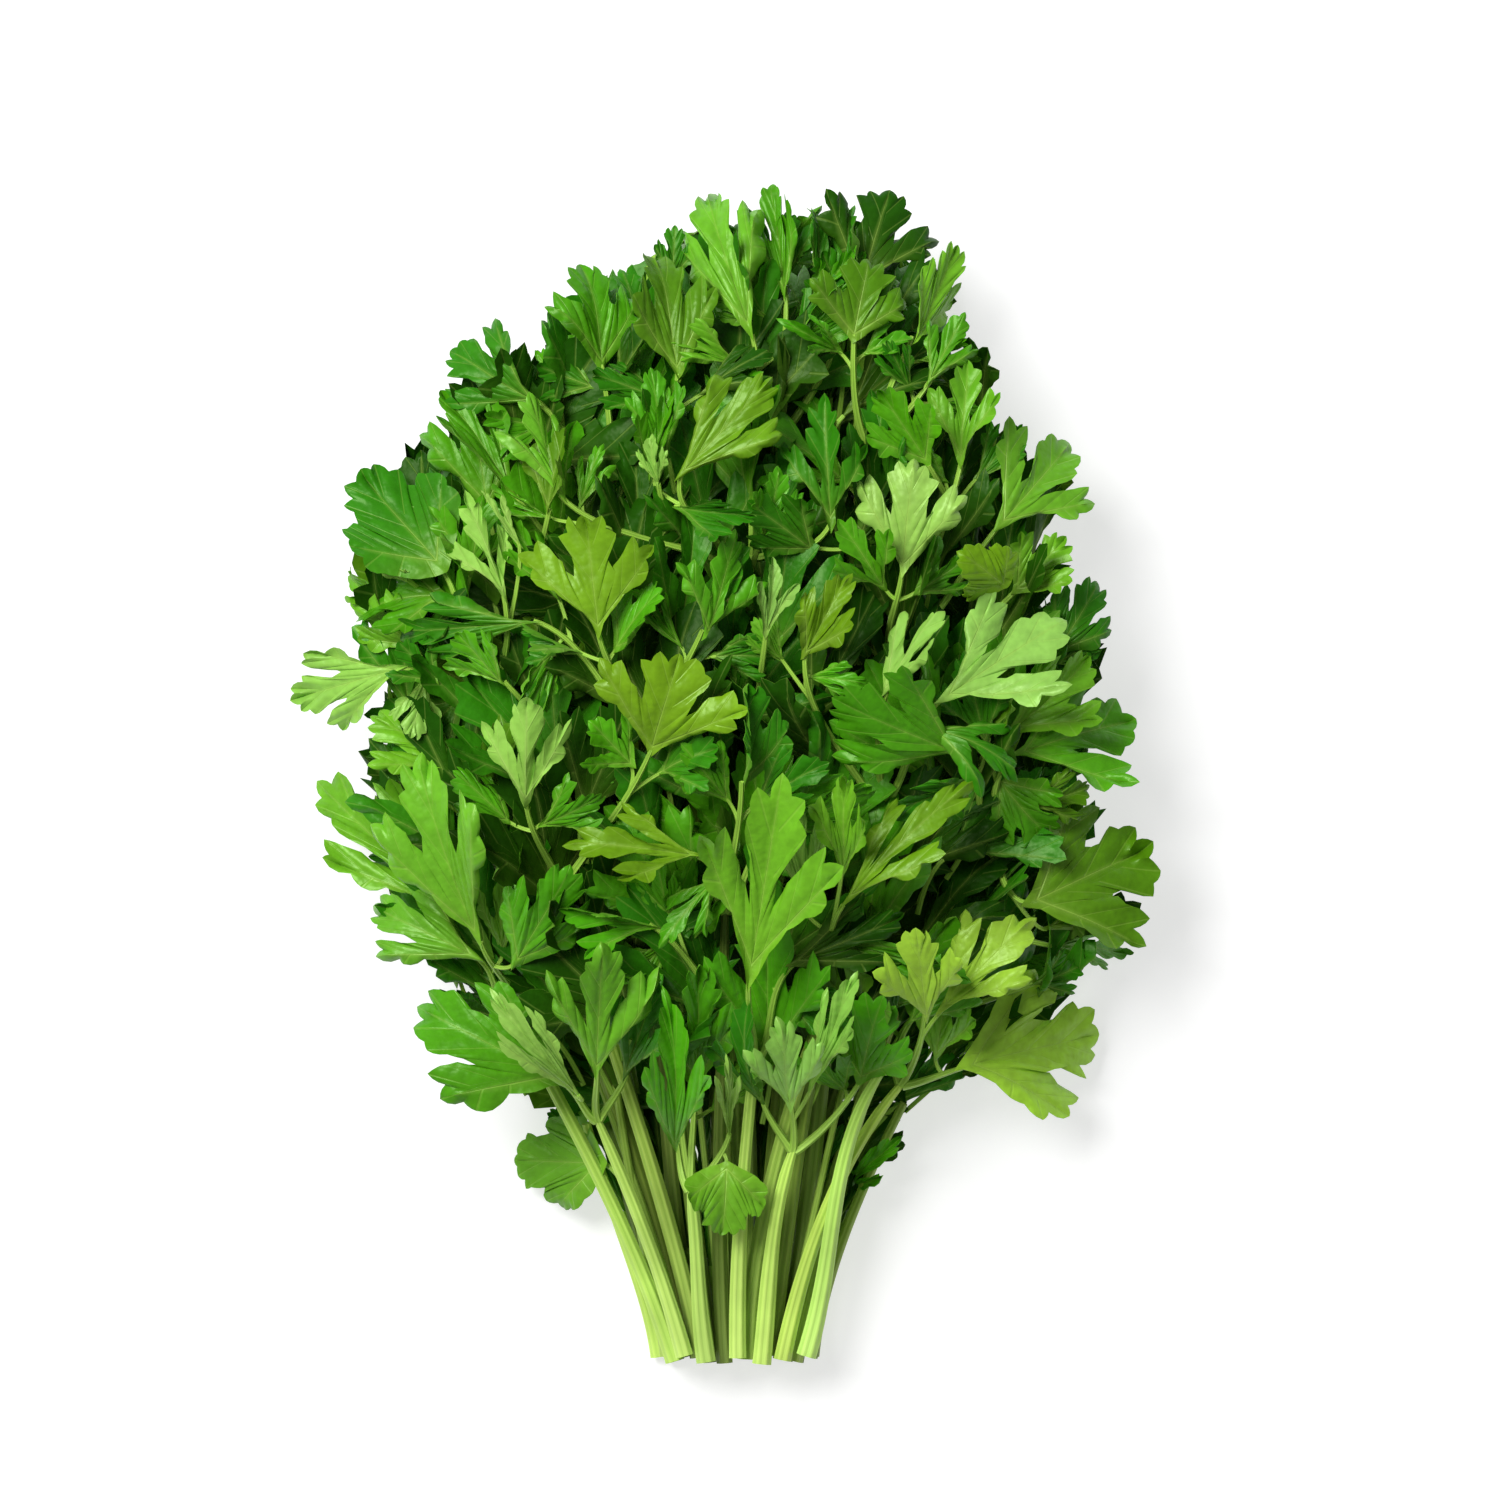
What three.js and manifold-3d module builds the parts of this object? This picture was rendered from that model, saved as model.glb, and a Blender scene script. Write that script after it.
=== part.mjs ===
// Flat-leaf parsley: one bunch of cut herbs, lying on a table, its leaves spread and its cut stems together.
//
// Units are millimetres, +Z is up and the table is z = 0. The cut ends point to -Y and the leaf tips to +Y.
// The origin is the middle of the bunch's footprint, on the table.
//
// The bunch is made of fronds. A frond is one stem, cut at its foot, that forks at its top into three pinnae:
// left, middle and right. A pinna is a thin stalk that carries one to three leaflets, and each leaflet is a
// thin blade with three lobes. Stem and pinnae are separate bodies, 0.3 mm or more apart.

import * as THREE from 'three';
import { mergeVertices } from 'three/addons/utils/BufferGeometryUtils.js';
import Module from 'manifold-3d';

const wasm = await Module();
wasm.setup();

// ---------------------------------------------------------------- driving dimensions

const BUNCH_FOOT_Y = -118.4; // where the longest stems are cut
const CUT_UNEVENNESS = 1.6; // how far the cut ends differ along Y

const STEM_FOOT_RADIUS = 2.0;
const STEM_TOP_RADIUS = 1.1;
const STEM_CLIMB = 12; // rise of a stem's last stretch, for its whole length
const STEM_SIDES = 8;
const STEM_STEP = 11; // length of one straight piece of a stem's path

const BUNDLE_LEFT_X = -9; // the lowest row's first stem
const BUNDLE_PITCH_X = 4.8; // stem to stem along a row
const BUNDLE_PITCH_Z = 4.0; // row to row
const BUNDLE_MIDDLE_X = 4; // the stems on either side of it lean outwards
const SPLAY = 0.024; // how much a stem leans outwards at its foot, for each mm from the bundle's middle
const OUTWARD = 0.9; // how much a stem leans outwards at its top, for each mm of its fork's x
const OUTWARD_RIGHT = 0.012; // the right-hand stems bend out further, the more the further out they end

const STALK_RADIUS = 0.7;
const STALK_SIDES = 4;
const PETIOLULE_RADIUS = 0.5; // the short side stalk of a second or third leaflet
const FORK_GAP = 0.4; // stem end to stalk end
const FORK_SPREAD = 1.7; // side stalk to middle stalk at the fork
const SIDES = { left: -1, middle: 0, right: 1 }; // which way a pinna leaves the fork
const STALK_REACH = 3; // how far a stalk runs into its blade, as the start of the midrib

const BLADE_THICKNESS = 0.9;
const BLADE_ARCH = 0.07; // rise of a blade's middle above the line from base to tip, in blade lengths
const CLEARANCE = 0.35; // least gap between two bodies

// The heap of leaves is a low dome: an ellipse in plan, highest in the middle.
const HEAP = { x: 1, y: 18, halfWidth: 92, halfLengthToTips: 118, halfLengthToStems: 106, rim: 6, top: 66 };
const BASE_SINK = 8; // how deep below the dome a leaflet's base lies
const TIP_SINK = 2; // and its tip
const LAYER_DEPTH = 9; // one layer of leaves

// A side leaflet against the first leaflet of its pinna.
const SIDE = { angle: (55 * Math.PI) / 180, size: 0.62, back: 0.12, apart: 0.1, deeper: 0.45 };

// Half a leaflet's outline, from base to tip: share of the length, share of the width.
const LEAFLET_HALF = [[0, 0.05], [0.3, 0.33], [0.58, 0.5], [0.6, 0.22], [0.8, 0.26], [1, 0]];

// ---------------------------------------------------------------- the fronds

// column and row give the stem's place in the bundle, row 0 on the table. fork is the top of the stem.
// Each leaflet is [base x, base y, tip x, tip y, width, depth in layers below the top of the heap]. A pinna
// whose list ends with left, right or both also has that side leaflet, smaller and a little deeper than its
// first one. A floor frond's leaves lie on the table. tipRise lifts the tip of a pinna's last leaflet.
const FRONDS = [
  {
    name: '01', column: 0, row: 0, fork: [-32, -37, 9], floor: true,
    left: [[-43, -32, -58, -38, 14, 0]],
    middle: [[-41, -14, -58, 10, 17, 0], [-47, -20, -70, -14, 13, 0]],
    right: [[-24, -14, -27, 13, 17, 0], 'both'],
  },
  {
    name: '02', column: 4, row: 0, fork: [36, -37, 9], floor: true,
    left: [[28, -18, 22, 8, 17, 0], 'left'],
    middle: [[50, -14, 66, 10, 17, 0], [40, -14, 42, 14, 13, 0]],
    right: [[55, -35, 73, -38, 11, 0]],
  },
  {
    name: '03', column: 2, row: 0, fork: [4, 35, 9], floor: true,
    left: [[-16, 52, -36, 76, 18, 0], [-22, 42, -50, 50, 15, 0]],
    middle: [[7, 62, 8, 94, 18, 0], 'both'],
    right: [[26, 52, 46, 78, 18, 0], [28, 40, 56, 46, 15, 0]],
  },
  {
    name: '04', column: 0, row: 1, fork: [-48, 13, 32],
    left: [[-62, 22, -84.2, 16, 14, 0.6], 'both'],
    middle: [[-54, 40, -73, 60, 24, 0.4], 'both'],
    right: [[-42, 34, -52, 56, 11, 0], [-39, 45, -47, 57, 6, 0]],
  },
  {
    name: '05', column: 1, row: 1, fork: [-21, 57, 34],
    left: [[-35, 74, -54, 85, 15, 0.6], 'both'],
    middle: [[-23, 80, -28.6, 101.6, 16, 0.6], 'both'],
    right: [[-8, 78, -13, 105, 15, 0.2], 'both'],
  },
  {
    name: '06', column: 2, row: 1, fork: [11, 68, 34],
    left: [[7, 86, -2.4, 115, 14, 0], 'both'],
    middle: [[13.4, 94, 10.4, 118.4, 10, 0.4], 'both'],
    right: [[28, 96, 33, 115, 18, 0.6], 'both'],
  },
  {
    name: '07', column: 4, row: 1, fork: [35, 25, 36],
    left: [[36, 39, 38.5, 63, 18, 0], 'both'],
    middle: [[48, 61, 49.5, 83, 13, 0.5], 'both'],
    right: [[54, 48, 71.5, 68, 20, 0.4], [57, 38, 48, 44, 12, 0]],
  },
  {
    name: '08', column: 0, row: 2, fork: [-43, -45, 22],
    left: [[-47, -37, -69.5, -26, 14, 0.8], 'right'],
    middle: [[-49, -31, -81, -2, 17, 0.8], 'right'],
    right: [[-47, -35, -60, 4, 20, 0], 'right'],
  },
  {
    name: '09', column: 1, row: 2, fork: [-32, -21, 34],
    left: [[-50, 1, -70, 11, 15, 0.5], 'both'],
    middle: [[-38.5, -7, -38, 17, 13, 0], 'both'],
    right: [[-14, 3.5, -8, 25, 24, 0.2], 'both'],
  },
  {
    name: '10', column: 5, row: 2, fork: [54, -15, 28],
    left: [[49, 4, 22, 16, 19, 0.4], 'both'],
    middle: [[57, 4, 83, 11, 20, 0.5], 'both'],
    right: [[60, -26, 84.4, -16, 18, 0.2], [64, -31, 83.5, -27, 12, 0.6]],
  },
  {
    name: '11', column: 0, row: 3, fork: [-25, -68, 24],
    left: [[-30, -62, -61, -46, 17, 0.3], [-28, -60, -37, -41, 7, 0]],
    middle: [[-24.5, -60, -24, -32, 18, 0]],
    right: [[-19, -61, -13, -42, 11, 0.9]],
  },
  {
    name: '12', column: 1, row: 3, fork: [-6, -82, 25], tipRise: { right: 22 },
    left: [[-8.5, -75, -9, -54, 9, 0.3]],
    middle: [[-5, -64, -4.5, -36, 10, 0.4], 'right'],
    right: [[2, -73, 0.5, -54, 6, 0.2], [1.5, -77, 0.5, -92, 15, -0.2]],
  },
  {
    name: '13', column: 2, row: 3, fork: [7, -56, 32],
    left: [[-12, -30, -32, -25, 12, 0.8], 'both'],
    middle: [[5.5, -42, 12.5, 1, 26, -0.1]],
    right: [[13, -38, 38, -28, 12, 0.6], 'right'],
  },
  {
    name: '14', column: 3, row: 3, fork: [15, -74, 26],
    left: [[9, -67, 4, -46, 11, 0.8]],
    middle: [[14.5, -67, 12, -50, 11, 0], [18, -63, 26, -40, 8, 0.1]],
    right: [[28, -62, 33, -43, 15, 0.5], 'left'],
  },
  {
    name: '15', column: 4, row: 3, fork: [37, -61, 24],
    left: [[30, -48, 17, -36, 13, 0.7], 'both'],
    middle: [[41, -49, 39, -29, 13, 0], [43, -48, 62, -28, 17, 0.2]],
    right: [[47, -59, 75, -52, 22, 0], 'left'],
  },
];

// ---------------------------------------------------------------- solids

// A closed geometry as a manifold-3d solid.
function solidOf(geometry) {
  geometry.deleteAttribute('normal');
  geometry.deleteAttribute('uv');
  const merged = mergeVertices(geometry, 1e-4);
  return new wasm.Manifold(new wasm.Mesh({
    numProp: 3,
    vertProperties: merged.attributes.position.array,
    triVerts: new Uint32Array(merged.index.array),
  }));
}

// A manifold-3d solid as a three.js geometry.
function geometryOf(solid) {
  const mesh = solid.getMesh();
  const geometry = new THREE.BufferGeometry();
  geometry.setAttribute('position', new THREE.BufferAttribute(new Float32Array(mesh.vertProperties), 3));
  geometry.setIndex(new THREE.BufferAttribute(new Uint32Array(mesh.triVerts), 1));
  geometry.computeVertexNormals();
  return geometry;
}

// A tube along a curve whose radius goes evenly from one end's to the other's.
function tubeGeometry(curve, startRadius, endRadius, sides, steps) {
  const corner = (k) => {
    const angle = (2 * Math.PI * k) / sides;
    return new THREE.Vector2(startRadius * Math.cos(angle), startRadius * Math.sin(angle));
  };
  const section = new THREE.Shape(Array.from({ length: sides }, (_, k) => corner(k)));
  const geometry = new THREE.ExtrudeGeometry(section, { steps, bevelEnabled: false, extrudePath: curve });
  const centres = curve.getSpacedPoints(steps);
  const position = geometry.getAttribute('position');
  const point = new THREE.Vector3();
  for (let i = 0; i < position.count; i++) {
    point.fromBufferAttribute(position, i);
    const distances = centres.map((centre) => centre.distanceTo(point));
    const station = distances.indexOf(Math.min(...distances));
    const share = 1 + (endRadius / startRadius - 1) * (station / steps);
    point.sub(centres[station]).multiplyScalar(share).add(centres[station]);
    position.setXYZ(i, point.x, point.y, point.z);
  }
  return geometry;
}

// A leaflet's blade: the outline extruded to its thickness, arched, and laid from base to tip.
function bladeGeometry(base, tip, width, thickness) {
  const length = base.distanceTo(tip);
  const half = LEAFLET_HALF.map(([along, across]) => new THREE.Vector2(along * length, across * width));
  const otherHalf = half.slice(0, -1).reverse().map((p) => new THREE.Vector2(p.x, -p.y));
  const outline = new THREE.Shape([...otherHalf.reverse(), half.at(-1), ...half.slice(0, -1).reverse()]);
  const geometry = new THREE.ExtrudeGeometry(outline, { depth: thickness, bevelEnabled: false });
  const position = geometry.getAttribute('position');
  for (let i = 0; i < position.count; i++) {
    const share = position.getX(i) / length;
    const rise = BLADE_ARCH * length * 4 * share * (1 - share);
    position.setZ(i, position.getZ(i) - thickness / 2 + rise);
  }
  const along = tip.clone().sub(base).normalize();
  const across = new THREE.Vector3(0, 0, 1).cross(along).normalize();
  const up = along.clone().cross(across);
  geometry.applyMatrix4(new THREE.Matrix4().makeBasis(along, across, up).setPosition(base));
  return geometry;
}

// ---------------------------------------------------------------- places

// Height of the heap's upper surface above a point of the table.
function heapHeight(x, y) {
  const halfLength = y > HEAP.y ? HEAP.halfLengthToTips : HEAP.halfLengthToStems;
  const r = Math.hypot((x - HEAP.x) / HEAP.halfWidth, (y - HEAP.y) / halfLength);
  return HEAP.rim + (HEAP.top - HEAP.rim) * Math.sqrt(Math.max(0, 1 - r * r));
}

// A pinna's leaflets, with the side leaflets its list asks for: turn is +1 for the left one and -1 for the
// right one.
function leafletsOf(list) {
  const leaflets = list.filter(Array.isArray);
  const turns = { left: [1], right: [-1], both: [1, -1] }[list.at(-1)] ?? [];
  const [baseX, baseY, tipX, tipY, width, depth] = leaflets[0];
  const base = new THREE.Vector2(baseX, baseY);
  const midrib = new THREE.Vector2(tipX, tipY).sub(base);
  const origin = new THREE.Vector2();
  for (const turn of turns) {
    const across = midrib.clone().rotateAround(origin, (turn * Math.PI) / 2);
    const sideBase = base.clone().addScaledVector(midrib, -SIDE.back).addScaledVector(across, SIDE.apart);
    const reach = midrib.clone().rotateAround(origin, turn * SIDE.angle).multiplyScalar(SIDE.size);
    const sideTip = sideBase.clone().add(reach);
    leaflets.push([...sideBase, ...sideTip, width * SIDE.size, depth + SIDE.deeper]);
  }
  return leaflets;
}

// A leaflet's base, tip and width, with its whole blade lifted by lift and its tip by tipRise besides.
function leafletPlace([baseX, baseY, tipX, tipY, width, depth], floor, lift, tipRise) {
  const baseZ = floor ? 7 : heapHeight(baseX, baseY) - BASE_SINK - depth * LAYER_DEPTH;
  const tipZ = floor ? 3 : heapHeight(tipX, tipY) - TIP_SINK - depth * LAYER_DEPTH;
  return {
    base: new THREE.Vector3(baseX, baseY, baseZ + lift),
    tip: new THREE.Vector3(tipX, tipY, tipZ + lift + tipRise),
    width,
  };
}

// A stem's path: out of the bundle with a lean outwards, then a smooth bend towards its fork.
function stemPath(frond) {
  const offset = frond.row % 2 ? BUNDLE_PITCH_X / 2 : 0;
  const uneven = CUT_UNEVENNESS * ((frond.column * 2 + frond.row * 3) % 5) / 4;
  const foot = new THREE.Vector3(
    BUNDLE_LEFT_X + offset + frond.column * BUNDLE_PITCH_X,
    BUNCH_FOOT_Y + uneven,
    STEM_FOOT_RADIUS + frond.row * BUNDLE_PITCH_Z,
  );
  const fork = new THREE.Vector3(...frond.fork);
  const reach = foot.distanceTo(fork) / 3;
  const heading = stemHeading(frond);
  const lean = new THREE.Vector3((foot.x - BUNDLE_MIDDLE_X) * SPLAY, 1, 0);
  return new THREE.CubicBezierCurve3(
    foot,
    foot.clone().addScaledVector(lean, reach),
    fork.clone().addScaledVector(heading, -reach),
    fork,
  );
}

// The direction in which a stem reaches its fork: outwards from the bundle.
function stemHeading({ fork: [x, y] }) {
  const outward = OUTWARD + OUTWARD_RIGHT * Math.max(0, x);
  return new THREE.Vector3(x * outward, y - BUNCH_FOOT_Y, STEM_CLIMB).normalize();
}

// Where a pinna's stalk starts at the fork, and in which direction: side is -1 left, 0 middle, 1 right.
function stalkStart(frond, side) {
  const heading = stemHeading(frond);
  const right = heading.clone().cross(new THREE.Vector3(0, 0, 1)).normalize();
  const apart = side * FORK_SPREAD;
  const ahead = side === 0 ? FORK_GAP : FORK_GAP + 0.6;
  return {
    point: new THREE.Vector3(...frond.fork).addScaledVector(heading, ahead).addScaledVector(right, apart),
    direction: heading.clone().addScaledVector(right, side * 1.2).normalize(),
  };
}

// ---------------------------------------------------------------- pieces

function stemSolid(frond) {
  const path = stemPath(frond);
  const steps = Math.max(5, Math.round(path.getLength() / STEM_STEP));
  return solidOf(tubeGeometry(path, STEM_FOOT_RADIUS, STEM_TOP_RADIUS, STEM_SIDES, steps));
}

// A pinna: its stalk, the short side stalks and the blades, joined. margin makes every wall thicker by that
// much, which is how the room around a pinna is tested.
function pinnaSolid(frond, word, lift, margin) {
  const side = SIDES[word];
  const leaflets = leafletsOf(frond[word]);
  const rise = (index) => (index === leaflets.length - 1 ? frond.tipRise?.[word] ?? 0 : 0);
  const places = leaflets.map((leaflet, index) => leafletPlace(leaflet, frond.floor, lift, rise(index)));
  const start = stalkStart(frond, side);
  const [first] = places;
  const midrib = first.tip.clone().sub(first.base).normalize();
  const reach = start.point.distanceTo(first.base) * 0.35;
  const stalk = new THREE.CubicBezierCurve3(
    start.point,
    start.point.clone().addScaledVector(start.direction, reach),
    first.base.clone().addScaledVector(midrib, -reach),
    first.base.clone().addScaledVector(midrib, STALK_REACH),
  );
  const radius = STALK_RADIUS + margin;
  let pinna = solidOf(tubeGeometry(stalk, radius, radius * 0.8, STALK_SIDES, 4));
  places.forEach(({ base, tip, width }, index) => {
    pinna = pinna.add(solidOf(bladeGeometry(base, tip, width, BLADE_THICKNESS + 2 * margin)));
    if (index === 0) return;
    const from = stalk.getPointAt(0.7);
    const direction = tip.clone().sub(base).normalize();
    const end = base.clone().addScaledVector(direction, STALK_REACH);
    const petiolule = new THREE.QuadraticBezierCurve3(from, base.clone().addScaledVector(direction, -1), end);
    const sideRadius = PETIOLULE_RADIUS + margin;
    pinna = pinna.add(solidOf(tubeGeometry(petiolule, sideRadius, sideRadius, STALK_SIDES, 2)));
  });
  return pinna;
}

// ---------------------------------------------------------------- laying the bunch

const LIFT_STEP = 1;
const MOST_LIFT = 26;

const placed = [];

function boxesMeet(a, b) {
  return [0, 1, 2].every((k) => a.min[k] <= b.max[k] && b.min[k] <= a.max[k]);
}

function isClear(solid) {
  const box = solid.boundingBox();
  if (box.min[2] < -1e-3) return false;
  return placed.every((other) => !boxesMeet(box, other.box) || solid.intersect(other.solid).volume() < 1e-6);
}

function place(name, solid, material) {
  placed.push({ name, solid, box: solid.boundingBox(), material });
}

// The lift nearest to nothing, upwards first, at which a pinna clears everything already laid. A floor pinna
// comes down until its lowest point is on the table.
function clearLift(frond, word) {
  if (frond.floor) return -pinnaSolid(frond, word, 0, 0).boundingBox().min[2];
  for (let step = 0; step <= MOST_LIFT / LIFT_STEP; step++) {
    for (const lift of step === 0 ? [0] : [step * LIFT_STEP, -step * LIFT_STEP]) {
      if (isClear(pinnaSolid(frond, word, lift, CLEARANCE))) return lift;
    }
  }
  throw new Error(`no room for pinna ${frond.name} ${word}`);
}

const stemGreen = new THREE.MeshStandardMaterial({ color: 0x9bc04e, roughness: 0.45, metalness: 0 });
const leafGreens = [0x3f8a17, 0x57a022, 0x2f7412, 0x74ab35].map(
  (color) => new THREE.MeshStandardMaterial({ color, roughness: 0.5, metalness: 0 }),
);

for (const frond of FRONDS) place(`stem_${frond.name}`, stemSolid(frond), stemGreen);

for (const frond of FRONDS) {
  for (const word of Object.keys(SIDES)) {
    const material = leafGreens[placed.length % leafGreens.length];
    place(`pinna_${frond.name}_${word}`, pinnaSolid(frond, word, clearLift(frond, word), 0), material);
  }
}

const group = new THREE.Group();
for (const { name, solid, material } of placed) {
  const mesh = new THREE.Mesh(geometryOf(solid), material);
  mesh.name = name;
  group.add(mesh);
}

export default group;
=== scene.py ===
"""Flat-leaf parsley: one bunch of cut herbs lying on a pale surface.

Metres, +Z up, the surface at z = 0. The cut ends point to -Y and the leaf tips to +Y. The bunch is made of
fronds: a ribbed stem that forks at its top into stalks, and each stalk carries a few lobed, toothed leaflets.
"""

from functools import lru_cache
from math import cos, pi, radians, sin

import bpy
import numpy as np
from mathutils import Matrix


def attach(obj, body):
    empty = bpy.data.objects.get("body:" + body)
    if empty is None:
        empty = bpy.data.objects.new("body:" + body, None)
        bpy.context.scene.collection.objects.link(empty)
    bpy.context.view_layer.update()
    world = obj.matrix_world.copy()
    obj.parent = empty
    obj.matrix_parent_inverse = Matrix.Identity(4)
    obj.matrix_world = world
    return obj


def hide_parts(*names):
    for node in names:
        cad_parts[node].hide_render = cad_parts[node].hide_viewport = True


bl_info = {
    "name": "Parsley bunch",
    "version": (1, 0, 0),
    "blender": (4, 5, 0),
    "location": "View3D > Sidebar > Parsley",
    "description": "Grows the stems, leaves and studio of a bunch of flat-leaf parsley round its CAD frame",
    "category": "Add Mesh",
}

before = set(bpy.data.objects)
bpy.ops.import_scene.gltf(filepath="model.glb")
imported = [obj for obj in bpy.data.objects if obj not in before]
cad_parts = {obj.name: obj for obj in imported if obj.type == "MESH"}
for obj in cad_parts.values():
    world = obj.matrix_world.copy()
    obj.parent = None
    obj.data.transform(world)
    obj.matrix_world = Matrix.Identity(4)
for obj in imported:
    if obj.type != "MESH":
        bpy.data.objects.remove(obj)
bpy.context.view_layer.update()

MM = 0.001
UP = np.array([0.0, 0.0, 1.0])

# ---------------------------------------------------------------- the plan of the bunch, in millimetres

BUNCH_FOOT_Y = -118.4
CUT_UNEVENNESS, FOOT_JITTER = 1.6, 0.3
STEM_FOOT_RADIUS, STEM_TOP_RADIUS = 2.0, 1.1
BUNDLE_LEFT_X, BUNDLE_PITCH_X, BUNDLE_PITCH_Z = -9.0, 4.8, 4.0
BUNDLE_MIDDLE_X, SPLAY = 4.0, 0.024
OUTWARD, OUTWARD_RIGHT, STEM_CLIMB = 0.9, 0.012, 12.0
STALK_RADIUS, PETIOLULE_RADIUS, STALK_OVERLAP = 0.7, 0.5, 2.0
FORK_DEPTH, FORK_SPREAD, FORK_OPENING = 1.2, 0.45, 1.2
SIDE_OF = {"left": -1, "middle": 0, "right": 1}
HEAP_X, HEAP_Y, HEAP_HALF_WIDTH = 1.0, 18.0, 92.0
HEAP_TO_TIPS, HEAP_TO_STEMS = 118.0, 106.0
HEAP_RIM, HEAP_TOP = 6.0, 66.0
BASE_SINK, TIP_SINK, LAYER_DEPTH = 8.0, 2.0, 9.0
FLOOR_BASE_Z, FLOOR_TIP_Z = 7, 3
SIDE_ANGLE, SIDE_SIZE, SIDE_BACK, SIDE_APART, SIDE_DEEPER = radians(55), 0.62, 0.12, 0.1, 0.45

# A leaflet's right half as (share of the width, share of the length), from its base at (0, 0) to its tip at
# (0, 1): one row out along the side lobe's outer edge to its tip, one in along the lobe's inner edge to the
# sinus, and one up to the leaflet's tip. In the first and last rows the third and fifth points are teeth.
FORMS = {
    "open": [
        (0.06, 0.11), (0.14, 0.22), (0.23, 0.34), (0.33, 0.45), (0.44, 0.56), (0.42, 0.62), (0.47, 0.77),
        (0.38, 0.75), (0.33, 0.71), (0.27, 0.64), (0.22, 0.58), (0.17, 0.53), (0.13, 0.49), (0.10, 0.45),
        (0.10, 0.55), (0.12, 0.65), (0.18, 0.79), (0.14, 0.83), (0.13, 0.93), (0.07, 0.92),
    ],
    "wedge": [
        (0.05, 0.11), (0.12, 0.22), (0.21, 0.33), (0.31, 0.42), (0.48, 0.53), (0.43, 0.60), (0.52, 0.75),
        (0.42, 0.73), (0.38, 0.82), (0.31, 0.74), (0.26, 0.68), (0.22, 0.62), (0.19, 0.57), (0.16, 0.52),
        (0.15, 0.62), (0.16, 0.72), (0.24, 0.85), (0.17, 0.87), (0.13, 0.97), (0.07, 0.93),
    ],
    "trifid": [
        (0.04, 0.10), (0.10, 0.21), (0.20, 0.32), (0.31, 0.40), (0.46, 0.48), (0.43, 0.55), (0.52, 0.70),
        (0.41, 0.67), (0.36, 0.74), (0.28, 0.66), (0.22, 0.59), (0.17, 0.52), (0.13, 0.46), (0.10, 0.40),
        (0.10, 0.51), (0.13, 0.63), (0.22, 0.77), (0.17, 0.81), (0.17, 0.92), (0.08, 0.91),
    ],
    "fan": [
        (0.07, 0.09), (0.18, 0.18), (0.31, 0.27), (0.40, 0.32), (0.54, 0.40), (0.49, 0.48), (0.57, 0.62),
        (0.47, 0.63), (0.45, 0.75), (0.36, 0.70), (0.31, 0.66), (0.27, 0.62), (0.23, 0.58), (0.20, 0.54),
        (0.19, 0.63), (0.20, 0.72), (0.30, 0.84), (0.22, 0.86), (0.18, 0.97), (0.09, 0.92),
    ],
    "cut": [
        (0.03, 0.10), (0.08, 0.20), (0.17, 0.30), (0.28, 0.36), (0.44, 0.42), (0.40, 0.49), (0.52, 0.62),
        (0.40, 0.59), (0.35, 0.66), (0.27, 0.57), (0.21, 0.50), (0.16, 0.43), (0.11, 0.36), (0.075, 0.30),
        (0.07, 0.43), (0.10, 0.56), (0.20, 0.71), (0.14, 0.75), (0.16, 0.88), (0.07, 0.87),
    ],
    "round": [
        (0.10, 0.05), (0.22, 0.11), (0.36, 0.19), (0.45, 0.27), (0.56, 0.38), (0.52, 0.46), (0.55, 0.58),
        (0.50, 0.63), (0.47, 0.72), (0.42, 0.72), (0.38, 0.71), (0.35, 0.70), (0.33, 0.69), (0.31, 0.68),
        (0.30, 0.74), (0.29, 0.80), (0.30, 0.89), (0.22, 0.89), (0.16, 0.99), (0.07, 0.95),
    ],
}
FORM_SHARES = {"wedge": 0.34, "trifid": 0.16, "open": 0.22, "fan": 0.2, "cut": 0.08}
# How far each stretch between two of those points bulges, as a share of its length: the wedge-shaped base and
# the sinus have smooth edges, and a tooth is full on its outer side.
BULGES = np.array([
    0, 0, 0.03, 0.05, 0.15, 0.08, 0.17, 0.12, 0.10, 0.04, 0, 0, 0, 0, 0, 0.03, 0.11, 0.06, 0.14, 0.06, 0.13,
])

# The bunch's outline from stems to tips: y, leftmost x, rightmost x.
OUTLINE = np.array([
    (-84, -20, 14), (-74, -27, 20), (-66, -36, 32), (-60, -47, 48), (-50, -59, 68), (-34, -64, 79),
    (-18, -71, 82), (0, -75, 78), (16, -77, 78), (32, -73, 76), (48, -73, 71), (64, -69, 70), (80, -54, 56),
    (92, -38, 50), (104, -24, 48), (112, -6, 38), (118, 2, 30),
], float)

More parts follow.
